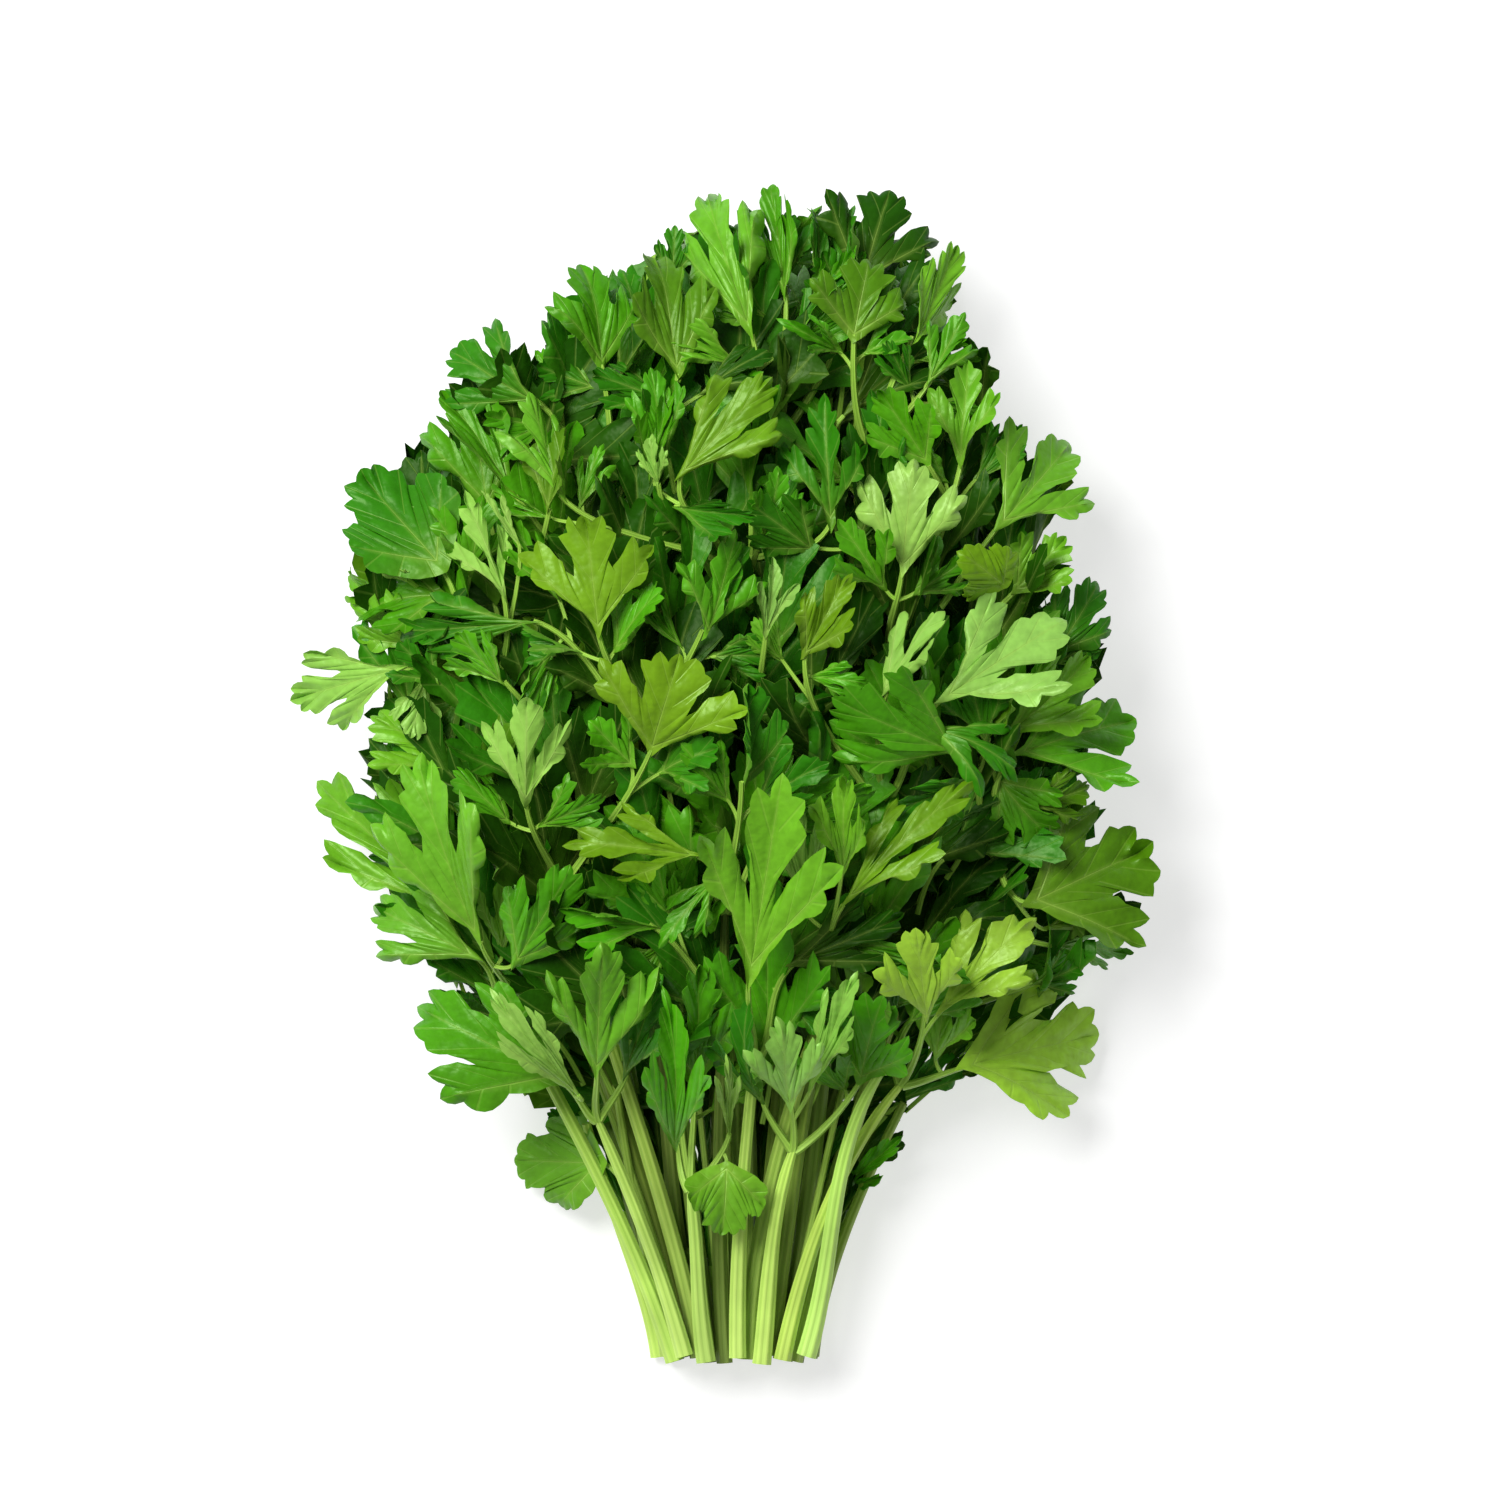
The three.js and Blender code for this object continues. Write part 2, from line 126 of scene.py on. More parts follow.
# A frond is (number, column, row, fork, on the floor, {side: (leaflets, side leaflets, greens)}). Column and
# row give the stem's place in the bundle, and fork its top. A leaflet is (base x, base y, tip x, tip y,
# width, depth in layers below the top of the heap). The side leaflets are -1 for a right one and 1 for a
# left one. The greens are one letter for each leaflet, and a small letter turns its underside up.
BOTH, LEFT, RIGHT, NONE = (1, -1), (1,), (-1,), ()
FRONDS = [
    ("01", 0, 0, (-32, -37, 9), True, {
        "left": ([(-43, -32, -58, -38, 14, 0)], NONE, "D"),
        "middle": ([(-41, -14, -58, 10, 17, 0), (-47, -20, -70, -14, 13, 0)], NONE, "DD"),
        "right": ([(-24, -14, -27, 13, 17, 0)], BOTH, "DDD")}),
    ("02", 4, 0, (36, -37, 9), True, {
        "left": ([(28, -18, 22, 8, 17, 0)], LEFT, "DD"),
        "middle": ([(50, -14, 66, 10, 17, 0), (40, -14, 42, 14, 13, 0)], NONE, "DD"),
        "right": ([(55, -35, 73, -38, 11, 0)], NONE, "M")}),
    ("03", 2, 0, (4, 35, 9), True, {
        "left": ([(-16, 52, -36, 76, 18, 0), (-22, 42, -50, 50, 15, 0)], NONE, "DD"),
        "middle": ([(7, 62, 8, 94, 18, 0)], BOTH, "DDD"),
        "right": ([(26, 52, 46, 78, 18, 0), (28, 40, 56, 46, 15, 0)], NONE, "DD")}),
    ("04", 0, 1, (-48, 13, 32), False, {
        "left": ([(-62, 22, -84.2, 16, 14, 0.6)], BOTH, "PPB"),
        "middle": ([(-54, 40, -73, 60, 24, 0.4)], BOTH, "DMM"),
        "right": ([(-42, 34, -52, 56, 11, 0), (-39, 45, -47, 57, 6, 0)], NONE, "pp")}),
    ("05", 1, 1, (-21, 57, 34), False, {
        "left": ([(-35, 74, -54, 85, 15, 0.6)], BOTH, "DMM"),
        "middle": ([(-23, 80, -28.6, 101.6, 16, 0.6)], BOTH, "MDS"),
        "right": ([(-8, 78, -13, 105, 15, 0.2)], BOTH, "ODS")}),
    ("06", 2, 1, (11, 68, 34), False, {
        "left": ([(7, 86, -2.4, 115, 15, 0)], BOTH, "BBM"),
        "middle": ([(13.4, 94, 10.4, 118.4, 10, 0.4)], BOTH, "MBM"),
        "right": ([(28, 96, 33, 115, 18, 0.6)], BOTH, "SDM")}),
    ("07", 4, 1, (35, 25, 36), False, {
        "left": ([(36, 39, 38.5, 63, 18, 0)], BOTH, "PMM"),
        "middle": ([(48, 61, 49.5, 83, 13, 0.5)], BOTH, "BMD"),
        "right": ([(54, 48, 71.5, 68, 20, 0.4), (57, 38, 48, 44, 12, 0)], NONE, "BY")}),
    ("08", 0, 2, (-43, -45, 22), False, {
        "left": ([(-47, -37, -69.5, -26, 14, 0.8)], RIGHT, "BB"),
        "middle": ([(-49, -31, -81, -2, 17, 0.8)], RIGHT, "BB"),
        "right": ([(-47, -35, -60, 4, 20, 0)], RIGHT, "BM")}),
    ("09", 1, 2, (-32, -21, 34), False, {
        "left": ([(-50, 1, -70, 11, 15, 0.5)], BOTH, "BBM"),
        "middle": ([(-38.5, -7, -38, 17, 13, 0)], BOTH, "pMM"),
        "right": ([(-14, 3.5, -8, 25, 24, 0.2)], BOTH, "YMD")}),
    ("10", 5, 2, (54, -15, 28), False, {
        "left": ([(49, 4, 22, 16, 19, 0.4)], BOTH, "MDD"),
        "middle": ([(57, 4, 83, 11, 20, 0.5)], BOTH, "MOM"),
        "right": ([(60, -26, 84.4, -16, 18, 0.2), (64, -31, 83.5, -27, 12, 0.6)], NONE, "OO")}),
    ("11", 0, 3, (-25, -68, 24), False, {
        "left": ([(-30, -62, -61, -46, 17, 0.3), (-27, -65, -45, -44, 8, 0)], NONE, "MP"),
        "middle": ([(-24.5, -60, -24, -32, 18, 0)], NONE, "B"),
        "right": ([(-19, -61, -13, -42, 11, 0.9)], NONE, "D")}),
    ("12", 1, 3, (-6, -82, 25), False, {
        "left": ([(-8.5, -75, -9, -54, 9, 0.3)], NONE, "M"),
        "middle": ([(-5, -64, -4.5, -36, 10, 0.4)], RIGHT, "MB"),
        "right": ([(2, -73, 0.5, -54, 6, 0.2), (1.5, -77, 0.5, -92, 15, -0.2)], NONE, "PB")}),
    ("13", 2, 3, (7, -56, 32), False, {
        "left": ([(-12, -30, -32, -25, 12, 0.8)], BOTH, "MMM"),
        "middle": ([(5.5, -42, 12.5, 1, 26, -0.1)], NONE, "B"),
        "right": ([(13, -38, 38, -28, 12, 0.6)], RIGHT, "SD")}),
    ("14", 3, 3, (15, -74, 26), False, {
        "left": ([(9, -67, 4, -46, 11, 0.8)], NONE, "D"),
        "middle": ([(14.5, -67, 12, -50, 11, 0), (18, -63, 26, -40, 8, 0.1)], NONE, "PP"),
        "right": ([(28, -62, 33, -43, 15, 0.5)], LEFT, "MM")}),
    ("15", 4, 3, (37, -61, 24), False, {
        "left": ([(30, -48, 17, -36, 13, 0.7)], BOTH, "BMM"),
        "middle": ([(41, -49, 39, -29, 13, 0), (43, -48, 62, -28, 17, 0.2)], NONE, "LL"),
        "right": ([(47, -59, 75, -52, 22, 0)], LEFT, "LB")}),
]
# The fronds between those of the CAD frame.
INNER_FRONDS = [
    ("16", 3, 2, (22, -42, 32), False, {
        "middle": ([(23, -27, 50.6, 0.6, 15, 0.1), (24, -21, 26, 1, 9, 0.1)], BOTH, "YBPM")}),
    ("17", 2, 2, (1, -26, 38), False, {
        "left": ([(-2.5, -16, -29.5, -13, 15, 0.1)], LEFT, "YM"),
        "middle": ([(4.5, -3, 2.5, 19, 17, 0.2)], BOTH, "DMD"),
        "right": ([(10, -10, 30, -1, 16, 0.7)], RIGHT, "MD")}),
    ("18", 4, 2, (32, -5, 40), False, {
        "left": ([(16, 23, 25.5, 40, 9, 0.1)], BOTH, "YBM"),
        "middle": ([(32, 15, 44, 33, 13, 0)], NONE, "p"),
        "right": ([(42, 14, 69, 31, 20, 0)], RIGHT, "PD")}),
    ("19", 1, 0, (-16, 11, 42), False, {
        "left": ([(-35, 31, -67, 28, 12, 0.2)], BOTH, "DMM"),
        "middle": ([(-24, 27, -26, 52, 20, 0)], BOTH, "YDM"),
        "right": ([(-4, 27, 3, 49, 14, 0.3)], BOTH, "MMD")}),
    ("20", 3, 0, (2, 43, 42), False, {
        "left": ([(-31, 54, -40, 75, 12, 0.2)], BOTH, "BMM"),
        "middle": ([(-9, 58, 10.5, 79, 16, -0.1)], BOTH, "YMD"),
        "right": ([(22, 48, 21, 76, 15, 0.3)], BOTH, "DDS")}),
    ("21", 3, 1, (30, 67, 34), False, {
        "left": ([(26.4, 86, 29, 103, 14, 0.2)], BOTH, "OMM"),
        "middle": ([(37.6, 86, 46.6, 106, 9, 0.3)], BOTH, "BMM"),
        "right": ([(41, 77, 49, 92, 9, 0.4)], BOTH, "MDM")}),
    ("23", 5, 1, (21, -93, 9), False, {
        "right": ([(25, -86, 37, -72, 8, 0.7)], NONE, "M")}),
    ("24", 5, 3, (33, -58, 30), False, {
        "right": ([(37, -50, 50, -37, 12, 0.5)], LEFT, "MD")}),
    ("22", 5, 0, (-16, -88, 8), False, {
        "left": ([(-22, -78, -40, -78, 18, 0.3)], NONE, "B")}),
]
# Single leaflets among the fronds: base x, base y, tip x, tip y, width, depth, green.
SINGLES = [
    (66, 23, 76, 39, 14, 0.9, "D"), (66, 22, 76, 27, 12, 0.9, "D"), (10, 95, 4.5, 114, 12, 0.9, "M"),
    (20, 97, 19, 114, 10, 0.8, "D"), (26, 92, 26, 114, 12, 0.9, "D"), (42, 61, 32, 78, 14, 0.3, "M"),
    (-12, 57, -14, 67, 7, 0, "P"), (-10, 62, -14, 81, 11, 0.4, "M"), (-40, 55, -56, 76, 17, 0.5, "M"),
    (-34, 52, -30, 69, 13, 0.3, "O"), (-66, 33, -75, 41, 11, 0.7, "B"), (-62, 39, -66, 42, 8, 0.2, "P"),
    (-56, 18, -64, 27, 14, 0.6, "D"), (-42, 18, -52, 29, 16, 0.3, "M"), (-45, -7, -43, 11, 12, 0.9, "O"),
    (58, 36, 69, 47, 14, 0.5, "B"), (9, 27, 11, 43, 8, -0.1, "P"), (8, 47, 12, 61, 13, 0.5, "M"),
    (62, -42, 73, -38, 9, 0.5, "D"), (57, 8, 74, 24, 15, 0.5, "B"), (66, -34, 80, -37, 10, 0.9, "M"),
    (-10, 98, -9, 110, 8, 0.8, "D"), (13, 97, 13.5, 113, 14, 1.1, "D"), (61, -6, 74, -2, 12, 0.6, "O"),
]
# Small low leaflets behind and between the stems. Their deep and shade greens are painted shade that fills
# the gaps between the stems: base x, base y, tip x, tip y, width, height, green.
STEM_LEAFLETS = [
    (-19, -89, -23, -70, 11, 3, "D"), (35, -67, 49, -52, 14, 6, "D"), (-30, -67, -39, -49, 12, 5, "D"),
    (-44, -57, -53, -43, 11, 5, "D"), (26, -70, 38, -60, 10, 4, "S"), (-12, -84, -13, -64, 12, 2, "S"),
    (-3, -88, -4, -66, 11, 3, "S"), (8, -88, 9, -66, 11, 3, "S"), (17, -84, 24, -66, 11, 2, "S"),
    (18, -86, 24, -70, 9, 4, "D"), (27, -80, 34, -66, 12, 3, "S"), (24, -93, 27.5, -75, 8, 3, "S"),
    (20.5, -86, 23, -70, 8, 3, "S"), (32, -60, 37, -47, 9, 8, "S"), (8, -84, 8.5, -70, 6, 4, "S"),
    (21, -94, 26, -79, 7, 3, "S"), (44, -62, 53, -54, 8, 4, "S"), (-22, -78, -28, -64, 7, 3, "S"),
    (-26, -72, -35, -68, 9, 3, "D"), (-2, -100, -3, -86, 6, 6, "D"), (-6.5, -102, -7, -80, 8, 2, "S"),
    (34, -58, 42, -47, 9, 6, "S"), (-4, 18, -1, 30, 10, 6, "S"), (4, 2, 5, 14, 9, 6, "S"),
]
# The habit of leaflets that lie open on top of the heap, by pinna and place on it.
OPEN_HABIT = ("form", "roll", "fold", "broad", "rise", "stretch")
OPEN_LEAFLETS = {
    ("04_left", 0): ("wedge", 0.0, 0.1),
    ("04_middle", 0): ("round", -0.2, 0.15, 0.95, 1, 0.93),
    ("05_left", 0): ("wedge", 0.3, 0.1, 1.24, 3),
    ("05_right", 0): ("fan", -0.35, 0.1, 1.05),
    ("06_left", 0): ("wedge", 0.1, 0.1, 1.24, 0, 1.12),
    ("06_right", 0): ("wedge", 0.1, 0.1, 1.24, 0, 1.08),
    ("07_left", 0): ("wedge", 0.1, 0.1),
    ("07_right", 0): ("trifid", 0.0, 0.2),
    ("07_right", 1): ("round", 0.2, 0.1, 1.0, 2),
    ("08_left", 0): ("wedge", -0.15, 0.1, 1.24, 6, 1.05),
    ("08_middle", 0): ("trifid", 0.0, 0.1, 1.24, 0, 1.06),
    ("08_right", 0): ("wedge", 0.4, 0.5, 1.24, 4),
    ("09_left", 0): ("wedge", -0.2, 0.15, 1.24, 7),
    ("09_middle", 0): ("trifid", 0.0, 0.3, 1.4, 2),
    ("09_right", 0): ("wedge", 0.0, 0.2),
    ("10_left", 0): ("wedge", 0.2, 0.05),
    ("10_middle", 0): ("trifid", 0.1, 0.1, 1.45),
    ("10_right", 0): ("fan", 0.1, 0.2, 1.6),
    ("11_left", 0): ("fan", -0.1, 0.2, 1.42, 3),
    ("11_left", 1): ("wedge", 0.0, 0.25, 1.3, 6),
    ("11_middle", 0): ("trifid", 0.0, 0.3),
    ("12_left", 0): ("wedge", 0.1, 0.2, 1.4, 2, 1.3),
    ("12_right", 1): ("round", 0.0, 0.05, 1.05),
    ("13_middle", 0): ("trifid", 0.0, 0.15, 1.05, 5),
    ("14_middle", 0): ("wedge", 0.35, 0.15, 1.35, 5, 1.1),
    ("14_middle", 1): ("wedge", 0.3, 0.15, 1.24, 3),
    ("15_middle", 0): ("wedge", -0.05, 0.25, 1.24, 4),
    ("15_middle", 1): ("trifid", 0.3, 0.2, 1.15, 4),
    ("15_right", 0): ("fan", 0.15, 0.25, 1.25, 3),
    ("16_middle", 0): ("cut", 0.2, 0.2, 1.0, 2),
    ("16_middle", 1): ("wedge", 0.0, 0.2, 1.24, 2),
    ("17_left", 0): ("cut", -0.2, 0.2, 1.1, 0, 1.05),
    ("18_right", 0): ("trifid", 0.1, 0.1),
    ("19_middle", 0): ("wedge", 0.0, 0.1),
    ("20_middle", 0): ("wedge", 0.1, 0.15, 1.0),
    ("21_left", 0): ("fan", -0.15, 0.2, 1.4),
    ("22_left", 0): ("round", -0.1, 0.1, 0.98),
}
# Some of them have further ways of their own.
OPEN_LEAFLET_WAYS = {
    ("05_left", 0): {"bend": (0.0, 0.0, 0.0)},
    ("08_right", 0): {"bend": (0.0, 0.0, 0.0), "twist": 0.0},
    ("12_right", 1): {"tip_rise": 22.0},
    ("13_middle", 0): {"bend": (0.05, 0.0, 0.05), "twist": 0.1},
    ("15_right", 0): {"bend": (0.0, 0.1, 0.0)},
    ("22_left", 0): {"droop": -0.05},
}
# S, the shade green, is painted shade: it darkens leaflets low in the heap and between the stems, where shade
# falls.
GREENS = {
    "D": "deep", "M": "middle", "B": "bright", "Y": "yellow", "O": "olive", "P": "pale", "S": "shaded",
    "L": "lime",
}


# ---------------------------------------------------------------- how finely and of what tissue

# A leaflet's rows from midrib to edge, and its steps between two points of its outline.
FINE, MEDIUM, COARSE = (7, 3), (4, 2), (3, 1)
STEM_RINGS, STEM_SIDES, FORK_RINGS = 44, 35, 7
THIN_RINGS, THIN_SIDES, SIDE_STEM_SIDES = 30, 14, 21
COARSE_RINGS, COARSE_SIDES = 6, 6
STALK_RINGS, STALK_SIDES, LEAFLET_RING = 18, 12, 12
PETIOLULE_RINGS, PETIOLULE_SIDES = 8, 8
SHARP_ANGLE = radians(55)
# A piece's materials by its kind. In a leaf, the stalks have the second one, as a stem's cut foot has.
FINISHES = {
    "leaf": ("parsley_leaf_blade", "parsley_stem_skin"),
    "stem": ("parsley_stem_skin", "parsley_stem_cut"),
}
FIRST, SECOND = 0, 1
STALK_TONE = (0.82, 0.9, 0.7, 1.0)


# ---------------------------------------------------------------- small tools


def linear(colour_hex):
    """An sRGB hex colour as linear red, green, blue and alpha."""
    channels = np.array([int(colour_hex[i : i + 2], 16) / 255 for i in (1, 3, 5)])
    channels = np.where(channels <= 0.04045, channels / 12.92, ((channels + 0.055) / 1.055) ** 2.4)
    return (*channels.tolist(), 1.0)


def unit(vector):
    """A vector, or each of an array of vectors, one long."""
    return vector / np.linalg.norm(vector, axis=-1, keepdims=True)


def bezier(points, count):
    """A Bezier curve of any degree: each step blends neighbouring control points by the share t."""
    t = np.linspace(0, 1, count)[:, None, None]
    ladder = np.broadcast_to(np.asarray(points, float), (count, len(points), 3))
    for _ in range(len(points) - 1):
        ladder = ladder[:, :-1] * (1 - t) + ladder[:, 1:] * t
    return ladder[:, 0]


def heap_height(x, y):
    """Height of the heap's upper surface: a rim plus a half ellipse over the footprint."""
    half_length = HEAP_TO_TIPS if y > HEAP_Y else HEAP_TO_STEMS
    r = np.hypot((x - HEAP_X) / HEAP_HALF_WIDTH, (y - HEAP_Y) / half_length)
    return HEAP_RIM + (HEAP_TOP - HEAP_RIM) * np.sqrt(max(0.0, 1 - r * r))


def outline_at(y):
    """Leftmost and rightmost x of the bunch at a place along it."""
    return np.interp(y, OUTLINE[:, 0], OUTLINE[:, 1]), np.interp(y, OUTLINE[:, 0], OUTLINE[:, 2])


def pulled_in(place, margin):
    """A place moved inside the outline, at least a margin from its sides."""
    y = np.clip(place[1], OUTLINE[0, 0], OUTLINE[-1, 0] - margin)
    left, right = outline_at(y)
    middle = (left + right) / 2
    return np.array([np.clip(place[0], min(left + margin, middle), max(right - margin, middle)), y])


def inside(place, slack):
    """Whether a place is inside the outline, or outside by no more than the slack."""
    x, y = place
    left, right = outline_at(y)
    return OUTLINE[0, 0] - slack < y < OUTLINE[-1, 0] + slack and left - slack < x < right + slack


class Tissue:
    """Gathers surfaces of plant tissue for one mesh: its points, its quads and what the materials read."""

    def __init__(self):
        self.points, self.green, self.under, self.toward_tip = [], [], [], []
        self.quads, self.surface, self.finish = [], [], []
        self.count = 0

    def add(self, points, quads, surface, green, under, finish, toward_tip=0.0):
        """Adds points and quads. The surface coordinates are given for each quad's four corners."""
        self.points.append(points)
        self.quads.append(quads + self.count)
        self.surface.append(surface)
        self.green.append(np.broadcast_to(green, (len(points), 4)))
        self.under.append(np.broadcast_to(under, len(points)))
        self.toward_tip.append(np.broadcast_to(toward_tip, len(points)))
        self.finish.append(np.broadcast_to(finish, len(quads)))
        self.count += len(points)

    def mesh(self, name, materials):
        """Writes the gathered arrays into a mesh. A quad whose last two corners are one is a triangle."""
        points = np.concatenate(self.points) * MM
        quads = np.concatenate(self.quads)
        is_triangle = quads[:, 2] == quads[:, 3]
        sizes = np.where(is_triangle, 3, 4)
        keep = np.ones(quads.shape, bool)
        keep[is_triangle, 3] = False
        corners = quads[keep]
        mesh = bpy.data.meshes.new(name)
        mesh.vertices.add(len(points))
        mesh.vertices.foreach_set("co", points.astype(np.float32).ravel())
        mesh.loops.add(len(corners))
        mesh.loops.foreach_set("vertex_index", corners.astype(np.int32))
        mesh.polygons.add(len(quads))
        mesh.polygons.foreach_set("loop_start", np.concatenate([[0], np.cumsum(sizes)[:-1]]).astype(np.int32))
        mesh.polygons.foreach_set("material_index", np.concatenate(self.finish).astype(np.int32))
        mesh.polygons.foreach_set("use_smooth", np.ones(len(quads), bool))
        mesh.update(calc_edges=True)
        surface = np.concatenate(self.surface)[keep].astype(np.float32)
        mesh.uv_layers.new(name="surface").uv.foreach_set("vector", surface.ravel())
        greens = mesh.color_attributes.new("blade_green", "FLOAT_COLOR", "POINT")
        greens.data.foreach_set("color", np.concatenate(self.green).astype(np.float32).ravel())
        for attribute, values in (("underside", self.under), ("toward_tip", self.toward_tip)):
            shares = mesh.attributes.new(attribute, "FLOAT", "POINT")
            shares.data.foreach_set("value", np.concatenate(values).astype(np.float32))
        for material in materials:
            mesh.materials.append(bpy.data.materials[material])
        mesh.set_sharp_from_angle(angle=SHARP_ANGLE)
        return mesh


def plant_piece(name, tissue, kind, cad_node=None):
    """An object at the origin for gathered tissue, on the bunch's one body. Its kind is leaf or stem."""
    piece = bpy.data.objects.new(name, tissue.mesh(name, FINISHES[kind]))
    bpy.context.scene.collection.objects.link(piece)
    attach(piece, "root")
    if cad_node:
        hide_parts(cad_node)
    return piece


# ---------------------------------------------------------------- leaflets

# A lobe's tip is the seventh point of the outline, and its midrib runs from the blade's fork nearly to it.
LOBE_POINTS, BLADE_FORK, RIB_SHARES = 7, 0.12, (0.86, 0.92, 0.86)
# The relief in millimetres, save the unevenness and the thinning towards the edge, which are shares.
SWELLING, RUFFLED_SWELLING, SWELLING_REACH = 0.12, 7, 6
VEIN_DEPTH, VEIN_WIDTH, UNEVENNESS, EDGE_THINNING = 0.28, 0.16, 0.032, 0.55
# How far the blade's green is changed by clouds of about 8 mm, towards the edge, to one side and at its base.
CLOUDING, EDGE_LIGHT, ONE_SIDED, YOUNG_SHARE, YOUNG_REACH = 0.08, 0.06, 0.22, 0.38, 0.2
YOUNG_GREEN = np.array(linear("#9cc83c"))
# How far above the table tissue levels off, and how softly.
TABLE_GAP, TABLE_SOFTNESS = 0.35, 1.0


@lru_cache(maxsize=None)
def leaflet_grid(rows, steps):
    """How a leaflet's grid is joined: which vertex each grid place is, the quads and the edge loop.

    Columns go round the edge from the base, by the right lobe, the tip and the left lobe, back to the base.
    Rows go from the lobes' midribs out to the edge. The two sides of a midrib share its vertices.
    """
    lobe = LOBE_POINTS * steps
    columns = 6 * lobe + 1
    number = np.zeros((columns, rows), int)
    along = np.concatenate([
        np.arange(lobe), np.arange(lobe, 0, -1), np.arange(lobe), np.arange(lobe, 0, -1), np.arange(lobe),
        np.arange(lobe, -1, -1),
    ])
    branch = np.concatenate([np.repeat([1, 2, 3], 2 * lobe), [3]])
    rib = np.where(along == 0, 0, (branch - 1) * lobe + along)
    number[:, 0] = rib
    first = 3 * lobe + 1
    number[:, 1:] = first + np.arange(columns * (rows - 1)).reshape(columns, rows - 1)
    number[-1, 1:] = number[0, 1:]
    count = first + (columns - 1) * (rows - 1)
    a, b = number[:-1], number[1:]
    quads = np.stack([a[:, :-1], a[:, 1:], b[:, 1:], b[:, :-1]], -1).reshape(-1, 4)
    # A quad beside the fork can have two corners in one place: it is written as a triangle.
    same = quads[:, 0] == quads[:, 3]
    quads[same] = quads[same][:, [0, 1, 2, 2]]
    return number, quads, number[:, -1], count, along / lobe, branch - 1


def leaflet_margin(form, width, length, rng, steps, raggedness):
    """The leaflet's edge: points at its teeth and notches, with each stretch between two of them bulging out.

    A stretch's bulge is a parabola: its share of the stretch's length, times 4 t (1 - t) for t along it.
    Also gives the tips of the right lobe, the leaflet and the left lobe, and the number of the vein that each
    place on the edge is nearest to.
    """
    sides = []
    for _ in range(2):
        half = np.array([(0, 0), *FORMS[form], (0, 1)], float)
        shift = rng.normal(0, raggedness, half.shape)
        shift[0] = shift[-1] = 0
        half = half + shift
        half[1:-1, 0] *= rng.uniform(0.9, 1.1)
        sides.append(half)
    right, left = sides
    left = left[::-1] * [-1, 1]
    points = np.concatenate([right, left[1:]]) * [width, length]
    ahead = np.roll(points[:-1], -1, axis=0) - points[:-1]
    ahead[-1] = points[-1] - points[-2]
    outward = np.stack([ahead[:, 1], -ahead[:, 0]], -1)
    share = np.arange(steps) / steps
    bulge = np.concatenate([BULGES, BULGES[::-1]])[:, None] * 4 * share * (1 - share)
    edge = points[:-1, None] + ahead[:, None] * share[:, None] + outward[:, None] * bulge[..., None]
    edge = np.concatenate([edge.reshape(-1, 2), points[-1:]])
    vein = np.linspace(0.5, 0.5 + len(BULGES), 2 * len(BULGES) * steps + 1)
    return edge, points[[LOBE_POINTS, 3 * LOBE_POINTS, 5 * LOBE_POINTS]], vein


def blade_height(look, length, x, y, t, out, reach, vein, bend, phase):
    """How far a blade stands out of its plane.

    It is the sum of an arch from base to tip, a fold about the midrib, the bend of each lobe's end, the
    ruffle of the edge, its droop, a swelling beside each midrib, a furrow over each side vein and a slow
    unevenness. v is the share of the length, out the share along a lobe's midrib, t the share from there to
    the edge and reach the same in mm.
    """
    v = y / length
    off_vein = (vein[:, None] + 0.5) % 1 - 0.5
    z = look["arch"] * length * 4 * v * (1 - v) * (-1 if look["under"] else 1)
    z = z + sin(look["fold"]) * (np.sqrt(x * x + 1.0) - 1.0)
    z = z + bend * length * out**2 * (0.5 + 0.5 * t)
    z = z + look["ruffle"] * length * t**2 * np.sin(pi * vein[:, None] * 0.5 + phase[0])
    z = z + look["droop"] * length * t**2 * out * (1 - 0.3 * t)
    swelling = (np.sqrt(reach**2 + 0.2) - 0.45) * np.exp(-reach / SWELLING_REACH)
    z = z + (SWELLING + RUFFLED_SWELLING * look["ruffle"]) * swelling
    z = z - VEIN_DEPTH * np.exp(-((off_vein / VEIN_WIDTH) ** 2)) * np.sin(pi * np.clip(t * 0.9, 0, 1))
    return z + UNEVENNESS * length * np.sin(5.1 * v + phase[1]) * np.cos(4.3 * x / length + phase[2])


def blade_tints(green, width, x, y, v, t, phase):
    """A blade's own green: yellower at its base, lighter to its edge and one side, and softly clouded."""
    clouds = np.sin(0.8 * x + phase[3]) * np.cos(0.7 * y + phase[1])
    patch = 1 + CLOUDING * clouds + EDGE_LIGHT * t * np.ones_like(x)
    patch = patch + ONE_SIDED * (x * np.cos(phase[2]) / width + (v - 0.6) * np.sin(phase[2]))
    young = YOUNG_SHARE * np.exp(-v / YOUNG_REACH)
    return np.array(green) * patch[..., None] * (1 - young[..., None]) + YOUNG_GREEN * young[..., None]


